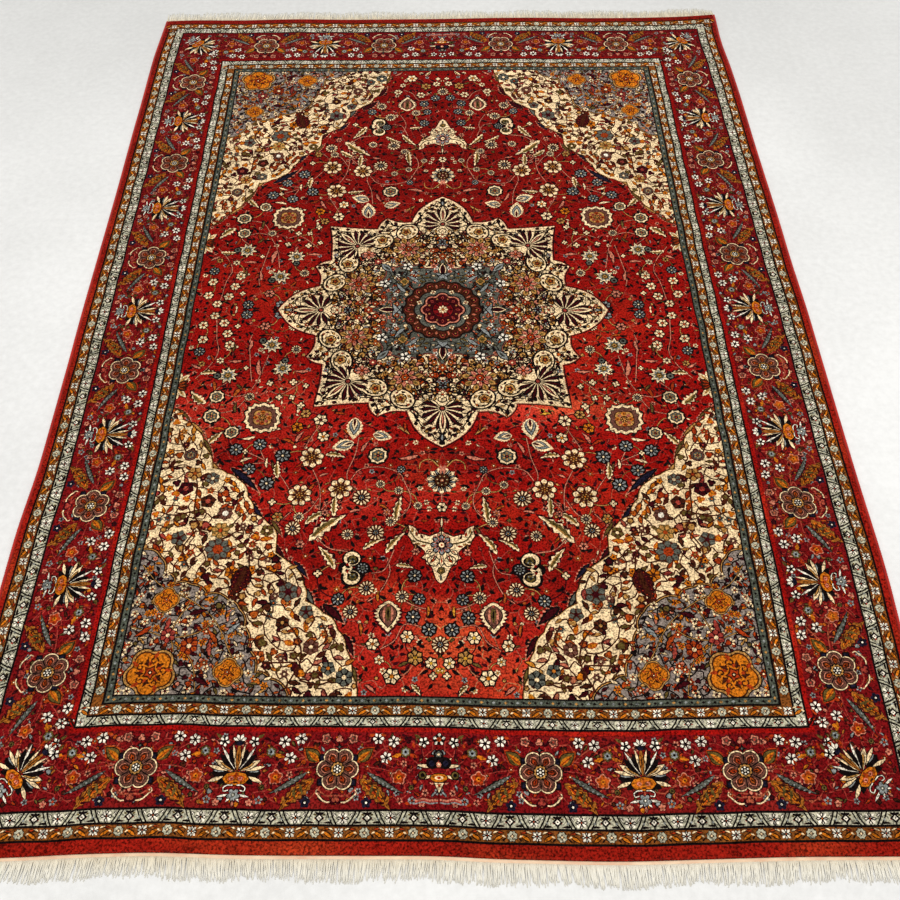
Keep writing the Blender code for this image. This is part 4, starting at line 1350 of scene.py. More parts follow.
def field():
    """The madder ground with its foliage, stems, leaves, flowers and pendants."""
    ground = rect(-PAST, -PAST, 690, 1084)
    made = [("madder", ground)]
    star_shape = grown(medallion_outline(), 6)
    off = [(x, y, 17 * size) for _, x, y, _, size in FIELD]
    spots, _ = scatter(ground, 30, 57, off)
    spots = outside(spots, star_shape, IVORY_CORNER)
    leaves = pairs("wine wine, wine ink, wine wine, ink wine, rust wine, rose wine, olive ink, "
        "blush wine, camel wine, ivory wine, brown wine")
    small = (blossom(5, 7.5, "blush", "wine"), blossom(6, 8, "ivory", "rust"),
        blossom(5, 7.5, "mist", "wine"), blossom(5, 8, "rust", "ivory", "wine"))
    made += foliage(spots, "rose", leaves, small, 58, 15, 1.8, 0.2, count=4)
    spots, chance = scatter(ground, 31, 91, off)
    for x, y in outside(spots, star_shape, IVORY_CORNER):
        made += place([("ink", leaf(chance.uniform(13, 23), 8.5))], x, y, chance.uniform(0, 360))
    spots = [(x, y) for _, x, y, _, _ in FIELD] + [(x, y) for _, _, x, y, _ in SMALL_FLOWERS]
    made += tendrils(spots, (("wine", None), ("rose", None), ("wine", None), ("camel", "wine"),
        ("olive", None)), 3)
    for line in VINES:
        made += [("wine", stem(line, 4.6, 12)), ("blush", stem(line, 2.1, 12))]
    for dye, x, y, turn, length in SLIVERS:
        made += place(sliver(length, dye), x, y, turn)
    for x, y, turn, length, width, bend in LEAVES:
        made += place(rimmed(cream_leaf(length, width, bend), 2.0), x, y, turn)
    for form, x, y, turn, size in FIELD:
        made += place(rimmed(form(), 2.2), x, y, turn, size)
    for dye, eye, x, y, radius in SMALL_FLOWERS:
        made += place(rimmed(blossom(6, radius, dye, eye), 2.0), x, y, (x * 7 + y) % 60)
    made += place(half_lotus(), 700, 262, 90, 0.72)
    # pendants on the long axis
    made += place(round_pendant(), 0, 552)
    crown = curve(((10, 512), (30, 492), (52, 500), (56, 520)), 9)
    made += mirrored([("ink", ribbon(crown, 6, 0.4)), ("camel", ribbon(crown, 3.4, 0.4))])
    made += mirrored(place([("blush", leaf(26, 9, per=3))], 6, 508, 20))
    made += place(cartouche(), 0, 742)
    made += place([("ink", petal(0, 34, 10, 1.1, 4)), ("ivory", petal(4, 30, 5, 1.1))], 0, 650)
    return made


print("field:", len(field()), "outlines")

# %% [markdown]
# ## Guards
#
# Narrow bands frame the border on both sides, the guards. Black and white flowers take turns with
# slanting leaves in them, and the unit between two flowers is repeated. The number of units is
# rounded to fit each side, so that the guards meet in the corners.

# %% Bands of the frame
BANDS = (  # dye, half width and half length of each ground, from the edge inwards
    ("scarlet", 1004, 1399), ("ink", 978, 1371), ("amber", 973.5, 1366.5), ("ink", 951, 1344),
    ("celadon", 946.5, 1339.5), ("ink", 923, 1316), ("crimson", 918.5, 1311.5), ("madder", 767, 1160),
    ("ink", 758, 1151), ("celadon", 753.5, 1146.5), ("ink", 736, 1129), ("amber", 731.5, 1124.5),
    ("ink", 711, 1104), ("moss", 706, 1099.5), ("ink", 693.5, 1087.5), ("madder", 690, 1084),
)


def guards_over():
    """The inner guards' grounds once more, over what the field's motifs reach across its edge."""
    made = []
    for (dye, x1, y1), (_, x0, y0) in zip(BANDS[8:15], BANDS[9:16]):
        made += [(dye, rect(x0, -PAST, x1, y1)), (dye, rect(-PAST, y0, x1, y1))]
    return made


def main_border():
    """Fine foliage over the crimson ground of the main border, under its large motifs."""
    (x0, y0), (x1, y1) = (767, 1164), (914, 1308)
    ground = np.array(((-PAST, y0), (x0, y0), (x0, -PAST), (x1, -PAST), (x1, y1), (-PAST, y1)), float)
    spots, _ = scatter(ground, 18.4, 77, (), 5)
    leaves = pairs("wine ink, rust wine, rose wine, olive ink, blush wine, brown ink, rust ink, "
        "ochre wine, gold wine, mist ink, rust wine")
    small = (blossom(5, 7.5, "blush", "wine"), blossom(5, 7, "rust", "ivory"),
        blossom(5, 7, "mist", "wine"))
    return foliage(spots, "rose", leaves, small, 78, 15.5, 1.9, 0.14)


print(len(BANDS), "bands; ground of the border:", len(main_border()), "outlines")

# %% Guards
def star_flower(h):
    """Four white petals set crosswise on black, with small ones between."""
    made = [("ink", pointed(8, h * 1.02, 0.32, 2))]
    made += around(4, [("white", petal(h * 0.16, h * 1.0, h * 0.46, 1.3))], 0, 45)
    made += around(4, [("white", petal(h * 0.34, h * 0.82, h * 0.24, per=2))])
    return made + [("rust", dot(h * 0.13, 5))]


def celadon_unit(pitch, height):
    """A black and white flower, and pairs of black lines that lean off it and make a frame for the
    pale block half a pitch on."""
    h, p = height / 2, pitch / 2
    made = []
    for s in (1, -1):
        for a, b, width in ((0.24, 0.52, 3.3), (0.40, 0.70, 2.9)):
            line = ((s * p * a, -h), (s * p * (a + b) / 2 + s * 1.2, 0), (s * p * b, h))
            made += [("ink", ribbon(line, width))]
        made += place([("ink", leaf(h * 0.9, h * 0.42, 0.2 * s)),
            ("white", leaf(h * 0.72, h * 0.2, 0.2 * s))], s * p * 0.30, h * 0.15, -s * 24)
        made += place([("brown", leaf(h * 0.7, h * 0.34, 0.3 * s))], s * p * 0.60, -h * 0.75, -s * 70)
        made += place([("olive", leaf(h * 0.6, h * 0.3, 0.3 * s))], s * p * 0.74, h * 0.55, -s * 100)
        made += place([("rose", dot(h * 0.2, 5))], s * p * 0.84, -h * 0.1)
        made += place([("ink", leaf(h * 1.0, h * 0.42, 0.5 * s))], s * p * 0.46, -h * 0.8, -s * 60)
        made += place([("ink", leaf(h * 1.0, h * 0.42, -0.5 * s))], s * p * 0.80, h * 0.86, -s * 130)
        made += place([("mist", dot(h * 0.2, 5))], s * p * 0.56, -h * 0.15)
    made += star_flower(h * 1.04)
    made += [("ink", pointed(4, h * 0.84, 0.36, 2) + (p, 0)),
        ("white", pointed(4, h * 0.42, 0.36, 2) + (p, 0))]
    return made + [("ink", dot(h * size, 4) + (p, y)) for size, y in ((0.14, 0), (0.2, h * 0.8),
        (0.2, -h * 0.8))]


def orange_unit(pitch, height):
    """A black and white flower between slanting orange leaves with black rims, and a pale
    scalloped block half a pitch on."""
    h, p = height / 2, pitch / 2
    made = []
    for s in (1, -1):
        long = [("ink", leaf(h * 2.3, h * 0.86, 0.16 * s, 3)),
            ("gold", leaf(h * 2.05, h * 0.5, 0.16 * s, 3) + (0, h * 0.1))]
        short = [("ink", leaf(h * 1.5, h * 0.6, -0.2 * s, 3)),
            ("rust", leaf(h * 1.3, h * 0.3, -0.2 * s, 3) + (0, h * 0.1))]
        pale = [("ink", leaf(h * 1.24, h * 0.5, 0.2 * s)),
            ("ivory", leaf(h * 1.0, h * 0.3, 0.2 * s) + (0, h * 0.1))]
        made += place(long, s * p * 0.26, -h * 0.9, -s * 50)
        made += place(short, s * p * 0.34, h * 0.8, -s * 112)
        made += place(pale, s * p * 0.2, h * 0.36, -s * 58)
        made += place([("ink", leaf(h * 0.9, h * 0.34, 0.3 * s))], s * p * 0.62, -h * 0.86, -s * 30)
        made += place([("ivory", leaf(h * 0.7, h * 0.3, 0.3 * s))], s * p * 0.58, h * 0.1, -s * 100)
    made += star_flower(h * 0.98)
    block = [("ink", pointed(8, h * 1.02, 0.2, 2, TURN / 16)),
        ("celadon", pointed(8, h * 0.88, 0.2, 2, TURN / 16)), ("brown", pointed(4, h * 0.5, 0.5, 2)),
        ("ivory", dot(h * 0.2, 5))]
    return made + place(block, p, 0)


UNIT_AT_ENDS, UNIT_AT_SIDES = 96, 84  # about how long a unit of a guard is
DOT_LINES, DOT_PITCH = (699.8, 1093.6), 12.5
GUARDS = (  # unit, the guard's middle line across and along, height of the unit
    (orange_unit, 962, 1355, 23), (celadon_unit, 935, 1328, 25), (celadon_unit, 745, 1138, 19),
    (orange_unit, 721.5, 1114.5, 22),
)


def guard(unit, cross, along, height):
    """One guard: units from the middle to the corner, along an end (y = along) and along a side
    (x = cross)."""
    number = round(cross / UNIT_AT_ENDS)
    pitch = cross / number
    made = []
    for k in (0, -1, *range(1, number + 1)):
        made += place(unit(pitch, height), k * pitch, along, 180)
    number = round(along / UNIT_AT_SIDES)
    pitch = along / number
    for k in range(number):
        made += place(unit(pitch, height), cross, k * pitch, 90)
    return made


def guards():
    """The four patterned guards and the two rows of dots inside them."""
    made = []
    for row in GUARDS:
        made += guard(*row)
    dyes, (cross, along) = ("ink", "mist", "ink", "camel"), DOT_LINES
    made += [(dyes[k % 4], oval(3.8, 3.2, 4) + (k * DOT_PITCH, along)) for k in range(57)]
    return made + [(dyes[k % 4], oval(3.2, 3.8, 4) + (cross, k * DOT_PITCH)) for k in range(88)]


print("guards:", len(guards()), "outlines")

# %% [markdown]
# ## The whole quarter
#
# The ground of every band is laid down first, from the edge inwards, then the border's motifs, the
# field, the medallion and the corner. The inner guards come last, over what reaches across the
# edge of the field.

# %% Quarter
BORDER_X, BORDER_Y = 841, 1234.5  # the main border's middle lines


def quarter():
    """The whole drawing of one quarter, the lowest layer first."""
    made = [("scarlet", rect(0, 0, 991.7, 1395))]
    made += [(dye, rect(-PAST, -PAST, x, y)) for dye, x, y in BANDS[1:]]
    made += main_border()
    rosettes = [(x, BORDER_Y, 180) for x in (204.5, 613.5)]
    rosettes += [(BORDER_X, y, 90) for y in (206, 617, 1029)]
    for spot in rosettes:
        made += place(mirrored(between()), *spot)
    for spot in rosettes:
        made += place(border_rosette(), *spot)
    made += place(cup_palmette(), 0, BORDER_Y, 180)
    for spot in ((409, BORDER_Y, 180), (BORDER_X, BORDER_Y, 135),
            *((BORDER_X, y, 90) for y in (823, 412, 0))):
        made += place(flame_palmette(), *spot)
    return made + field() + medallion() + spandrel() + guards_over() + guards()


LAYERS = quarter()
print("outlines", len(LAYERS), "with", sum(len(o) for _, o in LAYERS), "points")

# %% [markdown]
# ## From outlines to pile
#
# All outlines of the quarter go into one Delaunay triangulation, so neighbouring shapes share
# their edges and no colour lies over another: as in a real carpet, every spot is a single knot of
# one dye. The last outline drawn over a triangle gives it its dye. Edges between two triangles of
# one dye are then dropped, and the quarter is triangulated once more from the visible lines, with
# an even net of extra points so that the sheet can follow the ripples.

# %% Triangulation
MM_X, MM_Y = BODY * 1000, HALF_LENGTH * 1000
DYE_NAMES = sorted(DYES)
# in mm: what counts as one place, how far points may be moved onto a rim, how far a line may be
# straightened, the longest edge, the mesh of the net, and the lines that follow the rim where the
# pile rounds off
NEAR, SNAP, STRAIGHT, LONGEST, NET = 0.001, 0.02, 0.45, 22.0, 28
ROUNDING = (0.8, 2.2, 4.5)


def turned_left(outline):
    """The outline in counter-clockwise order: its signed area is made positive."""
    x, y = outline[:, 0], outline[:, 1]
    return outline if np.sum(x * np.roll(y, -1) - np.roll(x, -1) * y) > 0 else outline[::-1]


def shared_edges(triangles):
    """Every edge once: its ends, and its first and last triangle (equal on the rim)."""
    ends = np.concatenate([triangles[:, (a, (a + 1) % 3)] for a in range(3)])
    owner = np.tile(np.arange(len(triangles)), 3)
    ends = np.sort(ends, 1)
    order = np.lexsort((ends[:, 1], ends[:, 0]))
    ends, owner = ends[order], owner[order]
    new = np.concatenate(([True], (ends[1:] != ends[:-1]).any(1)))
    last = np.concatenate((new[1:], [True]))
    return ends[new], owner[new], owner[last]


def painted(layers):
    """Triangulates the outlines and gives each triangle the number of the topmost one over it."""
    shown = [(dye, turned_left(o)) for dye, o in layers
             if (o.max(0) > 0).all() and (o.min(0) < (MM_X, MM_Y)).all()]
    starts = np.cumsum([0] + [len(o) for _, o in shown])
    points = [Vector(p) for p in np.concatenate([o for _, o in shown]).tolist()]
    faces = [list(range(a, b)) for a, b in zip(starts[:-1], starts[1:])]
    # it gives points, edges and triangles, and in the last place the outlines over each triangle
    made = delaunay_2d_cdt(points, [], faces, 1, NEAR, True)
    at = np.array([tuple(v) for v in made[0]])
    triangles = np.array(made[2])
    top = np.fromiter((max(f, default=0) for f in made[5]), int, len(triangles))
    dye = np.array([DYE_NAMES.index(d) for d, _ in shown])[top]
    middle = at[triangles].mean(1)
    within = (middle > 0).all(1) & (middle[:, 0] < MM_X) & (middle[:, 1] < MM_Y)
    return at, triangles[within], dye[within]


def straightened(at, ends, fixed):
    """Drops every second point that lies almost on the line between its two neighbours."""
    for _ in range(4):
        count = np.bincount(ends.ravel(), minlength=len(at))
        both = np.zeros((len(at), 2), int)
        order = np.argsort(ends.ravel(), kind="stable")
        points, others = ends.ravel()[order], ends[:, ::-1].ravel()[order]
        begin = np.searchsorted(points, np.arange(len(at)))
        two = count == 2
        both[two, 0], both[two, 1] = others[begin[two]], others[begin[two] + 1]
        a, b = at[both[:, 0]], at[both[:, 1]]
        span, gap = b - a, at - a
        off = np.abs(span[:, 0] * gap[:, 1] - span[:, 1] * gap[:, 0])
        off /= np.linalg.norm(span, axis=1) + 1e-9
        drop = two & (off < STRAIGHT) & ~fixed & (both[:, 0] != both[:, 1])
        # of two neighbours only the one with the higher number may go
        drop &= ~(drop[both[:, 0]] & (both[:, 0] > np.arange(len(at))))
        drop &= ~(drop[both[:, 1]] & (both[:, 1] > np.arange(len(at))))
        gone = drop[ends].any(1)
        fresh = both[drop]
        ends = np.unique(np.sort(np.concatenate((ends[~gone], fresh)), 1), axis=0)
        ends = ends[ends[:, 0] != ends[:, 1]]
    return ends


def split(points, edges):
    """Cuts every edge that is too long into equal parts."""
    span = points[edges[:, 1]] - points[edges[:, 0]]
    parts = np.maximum(np.ceil(np.linalg.norm(span, axis=1) / LONGEST).astype(int), 1)
    owner = np.repeat(np.arange(len(edges)), parts)
    step = np.arange(len(owner)) - np.repeat(np.cumsum(parts) - parts, parts)
    fresh = step > 0
    number = np.full(len(owner) + 1, -1)
    number[:-1][fresh] = len(points) + np.arange(fresh.sum())
    begin = np.where(fresh, number[:-1], edges[owner, 0])
    last = step == parts[owner] - 1
    finish = np.where(last, edges[owner, 1], number[1:])
    added = points[edges[owner, 0]] + span[owner] * (step / parts[owner])[:, None]
    return np.concatenate((points, added[fresh])), np.column_stack((begin, finish))


def merged(at, triangles, dye, extra_lines, net):
    """Keeps only the lines that show, adds the net's points and triangulates again. Each new
    triangle takes its dye from the old one that lies under its middle."""
    ends, one, two = shared_edges(triangles)
    lines = ends[(dye[one] != dye[two]) | (one == two)]
    rim = (np.abs(at) < NEAR).any(1) | (np.abs(at - (MM_X, MM_Y)) < NEAR).any(1)
    lines = straightened(at, lines, rim)
    at = np.where(np.abs(at) < SNAP, 0.0, at)
    at = np.where(np.abs(at - (MM_X, MM_Y)) < SNAP, (MM_X, MM_Y), at)
    used = np.unique(lines)
    place_of = np.full(len(at), -1)
    place_of[used] = np.arange(len(used))
    begun, lines = split(at[used], place_of[lines])
    points, edges, total = [begun], [lines], len(begun)
    for line in extra_lines:
        edges.append(np.column_stack((np.arange(len(line) - 1), np.arange(1, len(line)))) + total)
        points.append(line)
        total += len(line)
    made = delaunay_2d_cdt([Vector(p) for p in np.concatenate(points + [net]).tolist()],
                           np.concatenate(edges).tolist(), [], 0, NEAR, True)
    new_at = np.array([tuple(v) for v in made[0]])
    new_triangles = np.array(made[2])
    middles = new_at[new_triangles].mean(1)
    flat = np.column_stack((at, np.zeros(len(at))))
    tree = BVHTree.FromPolygons(flat.tolist(), triangles.tolist())
    below = [tree.ray_cast((x, y, 1.0), (0, 0, -1))[2] for x, y in middles.tolist()]
    found = np.array([-1 if b is None else b for b in below])
    return new_at, new_triangles, np.where(found < 0, DYE_NAMES.index("madder"), dye[found])


old_at, old_triangles, old_dye = painted(LAYERS)
rim_lines = [np.column_stack((np.full(60, MM_X - d), np.linspace(0, MM_Y - d, 60))) for d in ROUNDING]
rim_lines += [np.column_stack((np.linspace(0, MM_X - d, 44), np.full(44, MM_Y - d))) for d in ROUNDING]
net_x, net_y = np.meshgrid(np.arange(NET / 2, MM_X, NET), np.arange(NET / 2, MM_Y, NET))
net = np.column_stack((net_x.ravel(), net_y.ravel()))
AT, TRIANGLES, DYE = merged(old_at, old_triangles, old_dye, rim_lines, net)
print("first", len(old_triangles), "triangles; from the visible lines", len(TRIANGLES))

# %% [markdown]
# ## The pile, piece by piece
#
# The weaver knots the same quarter four times, reading the drawing forwards and backwards. Here
# the triangles are mirrored likewise. A slight seeded wander then moves every point by about a
# millimetre, since two hand-tied halves never match. Nine millimetres of pile round off at the
# rim. The design's zones become separate pieces.

# %% Pile
WANDER = np.random.default_rng(4)
WAVES = [(WANDER.uniform(-1, 1, 2) * 0.055, WANDER.uniform(0, TURN),
    WANDER.uniform(-1, 1, 2)) for _ in range(10)]
WAVE_HEIGHT, FADE = 0.55, 25  # mm
RIM = 0.0042  # radius of the pile's rounded rim, in metres


def linear(colour):
    """A dye's sRGB numbers 0-255 as linear light."""
    c = np.array(colour) / 255
    return np.where(c <= 0.04045, c / 12.92, ((c + 0.055) / 1.055) ** 2.4)


def wandered(p):
    """Points moved by a sum of ten slow sine waves, which fades out within 25 mm of the rim."""
    moved = np.zeros_like(p)
    for wave, phase, way in WAVES:
        moved += np.sin(p @ wave + phase)[:, None] * way * WAVE_HEIGHT
    edge = np.minimum(MM_X - np.abs(p[:, 0]), MM_Y - np.abs(p[:, 1]))
    return p + moved * np.clip(edge / FADE, 0, 1)[:, None]


def laid(p, depth=0.0):
    """Drawing millimetres to metres on the floor, at the pile's height less depth. Near the rim
    the pile falls off as a quarter circle of radius R: R - sqrt(R^2 - (R - d)^2), d from the rim."""
    x, y, under = carpet_point(p[:, 0] / MM_X, p[:, 1] / MM_Y)
    edge = np.minimum(MM_X - np.abs(p[:, 0]), MM_Y - np.abs(p[:, 1])) / 1000
    inner = np.clip(RIM - edge, 0, RIM)
    z = under + THICKNESS - depth - (RIM - np.sqrt(RIM**2 - inner**2 + 1e-12))
    return np.column_stack((x + MOVE[0], y + MOVE[1], z))


def upward(top):
    """Normals (-dz/dx, -dz/dy, 1) from the slope of the ripples."""
    x, y, step = top[:, 0] - MOVE[0], top[:, 1] - MOVE[1], 0.002
    slope_x = (lift(x + step, y) - lift(x - step, y)) / (2 * step)
    slope_y = (lift(x, y + step) - lift(x, y - step)) / (2 * step)
    out = np.column_stack((-slope_x, -slope_y, np.ones(len(top))))
    return (out / np.linalg.norm(out, axis=1)[:, None]).tolist()


def object_from(name, points, faces, smooth=True):
    """A mesh object from a points array and an array or list of faces."""
    mesh = bpy.data.meshes.new(name)
    mesh.from_pydata(points, [], faces if isinstance(faces, list) else faces.tolist())
    mesh.polygons.foreach_set("use_smooth", np.full(len(mesh.polygons), smooth))
    made = bpy.data.objects.new(name, mesh)
    bpy.context.scene.collection.objects.link(made)
    return made


def pile_piece(name, chosen):
    """Four mirrored copies of the chosen triangles as one mesh, with the rim drawn down."""
    points, faces, dyes = [], [], []
    kept, local = np.unique(TRIANGLES[chosen], return_inverse=True)
    local = local.reshape(-1, 3)
    for sx, sy in ((1, 1), (-1, 1), (-1, -1), (1, -1)):
        faces.append((local if sx * sy > 0 else local[:, ::-1]) + len(points) * len(kept))
        points.append(AT[kept] * (sx, sy))
        dyes.append(DYE[chosen])
    points, faces, dyes = np.concatenate(points), np.concatenate(faces), np.concatenate(dyes)
    # points of two quarters that lie within a two-hundredth of a millimetre are one
    key = np.round(points * 200).astype(np.int64)
    _, first, twin = np.unique(key[:, 0] * 10**8 + key[:, 1], return_index=True, return_inverse=True)
    points, faces = points[first], twin[faces]
    whole = (faces != np.roll(faces, 1, 1)).all(1)
    faces, dyes = faces[whole], dyes[whole]
    _, single = np.unique(np.sort(faces, 1), axis=0, return_index=True)
    if len(single) < len(faces) or not whole.all():
        print(name, "dropped", int((~whole).sum()), "folded and", len(faces) - len(single),
            "doubled triangles")
    faces, dyes = faces[single], dyes[single]
    flat = wandered(points)
    top = laid(flat)
    # the rim's outer edges are drawn down towards the floor
    ends, one, two = shared_edges(faces)
    outer = (np.abs(np.abs(points[:, 0]) - MM_X) < 0.01) | (np.abs(np.abs(points[:, 1]) - MM_Y) < 0.01)
    rim = (one == two) & outer[ends].all(1)
    cut, own = ends[rim], one[rim]
    if len(cut):
        face = faces[own]
        forward = np.zeros(len(cut), bool)
        for a in range(3):
            forward |= (face[:, a] == cut[:, 0]) & (face[:, (a + 1) % 3] == cut[:, 1])
        cut = np.where(forward[:, None], cut, cut[:, ::-1])
        used, low_of = np.unique(cut, return_inverse=True)
        low_of = low_of.reshape(-1, 2) + len(top)
        base = top[used].copy()
        base[:, 2] = laid(flat[used], THICKNESS - RIM - 0.0004)[:, 2]
        walls = np.concatenate((np.column_stack((cut[:, 1], cut[:, 0], low_of[:, 0])),
                                np.column_stack((cut[:, 1], low_of[:, 0], low_of[:, 1]))))
        top = np.concatenate((top, base))
        faces = np.concatenate((faces, walls))
        dyes = np.concatenate((dyes, dyes[own], dyes[own]))
    made = object_from(name, top, faces)
    made.data.normals_split_custom_set_from_vertices(upward(top))
    dye = made.data.color_attributes.new("dye", "FLOAT_COLOR", "CORNER")
    table = np.array([(*linear(DYES[n]), 1.0) for n in DYE_NAMES], np.float32)
    dye.data.foreach_set("color", np.repeat(table[dyes], 3, axis=0).ravel())
    print(name, len(faces), "triangles")
    return made


# %% Zones of the pile
middle = AT[TRIANGLES].mean(1)
BORDER_OUT, BORDER_IN, FIELD_EDGE = (918.5, 1311.5), (757, 1150), (694, 1088)
FIELD_CUT = 640  # where the field is cut across, in mm from the middle
outer = (middle > BORDER_OUT).any(1)
main = ~outer & (middle > BORDER_IN).any(1)
guard_in = ~outer & ~main & (middle > FIELD_EDGE).any(1)
rest = ~outer & ~main & ~guard_in
in_star = rest & inside(middle, medallion_outline())
in_corner = rest & ~in_star & inside(middle, IVORY_CORNER)
at_ends = middle[:, 1] - BORDER_IN[1] > middle[:, 0] - BORDER_IN[0]
red = rest & ~in_star & ~in_corner
ZONES = {
    "pile_outer_guards": outer,
    "pile_border_ends": main & at_ends,
    "pile_border_sides": main & ~at_ends,
    "pile_inner_guards": guard_in,
    "pile_medallion": in_star,
    "pile_corners": in_corner,
    "pile_field_middle": red & (middle[:, 1] < FIELD_CUT),
    "pile_field_ends": red & (middle[:, 1] >= FIELD_CUT),
}
PILE = {name: pile_piece(name, chosen) for name, chosen in ZONES.items()}

# %% [markdown]
# ## Foundation
#
# Under the pile lie the cotton warps and wefts that the knots are tied round. It is one closed
# sheet, and its underside shows the knots' backs as fine ribs.

# %% Foundation
def foundation(inset=0.002, top=0.0084, bottom=0.0001, across=49, along=69):
    """A closed slab: two grids, at lift + top and lift + bottom, joined round the rim by quads."""
    u = np.linspace(-1 + inset / BODY, 1 - inset / BODY, across)
    v = np.linspace(-1 + inset / HALF_LENGTH, 1 - inset / HALF_LENGTH, along)
    u, v = np.meshgrid(u, v)
    x, y, under = carpet_point(u.ravel(), v.ravel())
    x, y = x + MOVE[0], y + MOVE[1]
    upper = np.column_stack((x, y, under + top))
    lower = np.column_stack((x, y, under + bottom))
    n = across * along
    i = np.arange(n).reshape(along, across)
    quad = np.stack((i[:-1, :-1], i[:-1, 1:], i[1:, 1:], i[1:, :-1]), -1).reshape(-1, 4)
    ring = np.concatenate((i[0, :-1], i[:-1, -1], i[-1, :0:-1], i[:0:-1, 0]))
    after = np.roll(ring, -1)
    wall = np.column_stack((ring, ring + n, after + n, after))
    faces = np.concatenate((quad, quad[:, ::-1] + n, wall))
    return object_from("foundation", np.concatenate((upper, lower)), faces, False)


BASE = foundation()
print("foundation", len(BASE.data.polygons), "faces")

# %% [markdown]
# ## Bound sides
#
# Along each side the last warps are overcast with red wool, wound round and round while the
# carpet is on the loom. The winding is a tube whose radius swells and sinks once for each turn
# of the yarn, so the ridges lean a little, as real turns do.

# %% Overcast sides
def overcast(name, side, pitch=0.0064, sides=7, per_turn=3):
    """Tube along a side of the pile: radius = R (0.925 + 0.075 cos(phase)), where the phase grows
    by a full turn for each pitch along it and falls by one round it."""
    turns = int(2 * HALF_LENGTH / pitch)
    along = np.linspace(-1, 1, turns * per_turn + 1)
    x, y, under = carpet_point(np.full_like(along, side), along)
    radius = SELVEDGE / 2
    slope = np.max((np.diff(x[::30]) / np.diff(y[::30])) ** 2)
    x = x + side * (radius + GAP + slope * radius)
    angle = np.arange(sides) * TURN / sides
    phase = np.arange(len(along))[:, None] * TURN / per_turn - angle[None, :] * side
    chance = np.random.default_rng(9 + side)
    swell = 0.925 + 0.075 * np.cos(phase) + 0.02 * chance.normal(size=len(along))[:, None]
    px = x[:, None] + radius * swell * np.cos(angle)
    pz = under[:, None] + radius + radius * swell * np.sin(angle)
    py = np.repeat(y[:, None], sides, 1)
    points = np.stack((px + MOVE[0], py + MOVE[1], pz), -1).reshape(-1, 3)
    i = np.arange(len(along) * sides).reshape(-1, sides)
    j = np.roll(i, -1, 1)
    quads = np.stack((i[:-1], i[1:], j[1:], j[:-1]), -1).reshape(-1, 4)[:, ::-1]
    faces = quads.tolist() + [i[0].tolist(), i[-1, ::-1].tolist()]
    return object_from(name, points, faces)


SIDES = {
    "selvedge_left": overcast("overcast_left", -1),
    "selvedge_right": overcast("overcast_right", 1),
}
for piece in SIDES.values():
    print(piece.name, len(piece.data.polygons), "faces")

# %% [markdown]
# ## Ends
#
# The weaver starts and ends the carpet with a few picks of plain weave that keep the knots from
# sliding off, and leaves the cotton warps beyond it as fringe. Each strand is one warp pair, thin,
# a little crooked and unequal in length.

# %% Woven ends and fringe
def end_line(side, count):
    """Places along an end of the pile, with the height of its underside."""
    share = np.linspace(-1, 1, count)
    x, y, under = carpet_point(share, np.full_like(share, side))
    x = x + share * (SELVEDGE + GAP) * 0.96
    return x + MOVE[0], y + MOVE[1], under


def woven_end(name, side, count=420, depth=0.0082, height=0.0034):
    """A flat strip with a rounded top: z = height times its profile, ribbed along its length."""
    x, y, under = end_line(side, count)
    out = np.array((0.0, 0.02, 0.18, 0.45, 0.75, 0.97, 1.0))
    rise = np.array((0.05, 0.86, 1.0, 0.96, 0.9, 0.62, 0.05))
    rib = 1 + 0.05 * np.cos(np.arange(count) * 2.2)
    py = y[:, None] + side * (GAP + depth * out)
    pz = under[:, None] * (1 - 0.5 * out) + height * rise * rib[:, None]
    points = np.stack((np.repeat(x[:, None], len(out), 1), py, pz), -1).reshape(-1, 3)
    i = np.arange(len(points)).reshape(count, -1)
    j = np.roll(i, -1, 1)
    quads = np.stack((i[:-1], i[1:], j[1:], j[:-1]), -1).reshape(-1, 4)
    quads = quads if side > 0 else quads[:, ::-1]
    faces = quads.tolist() + [i[0].tolist(), i[-1].tolist()]
    return object_from(name, points, faces)


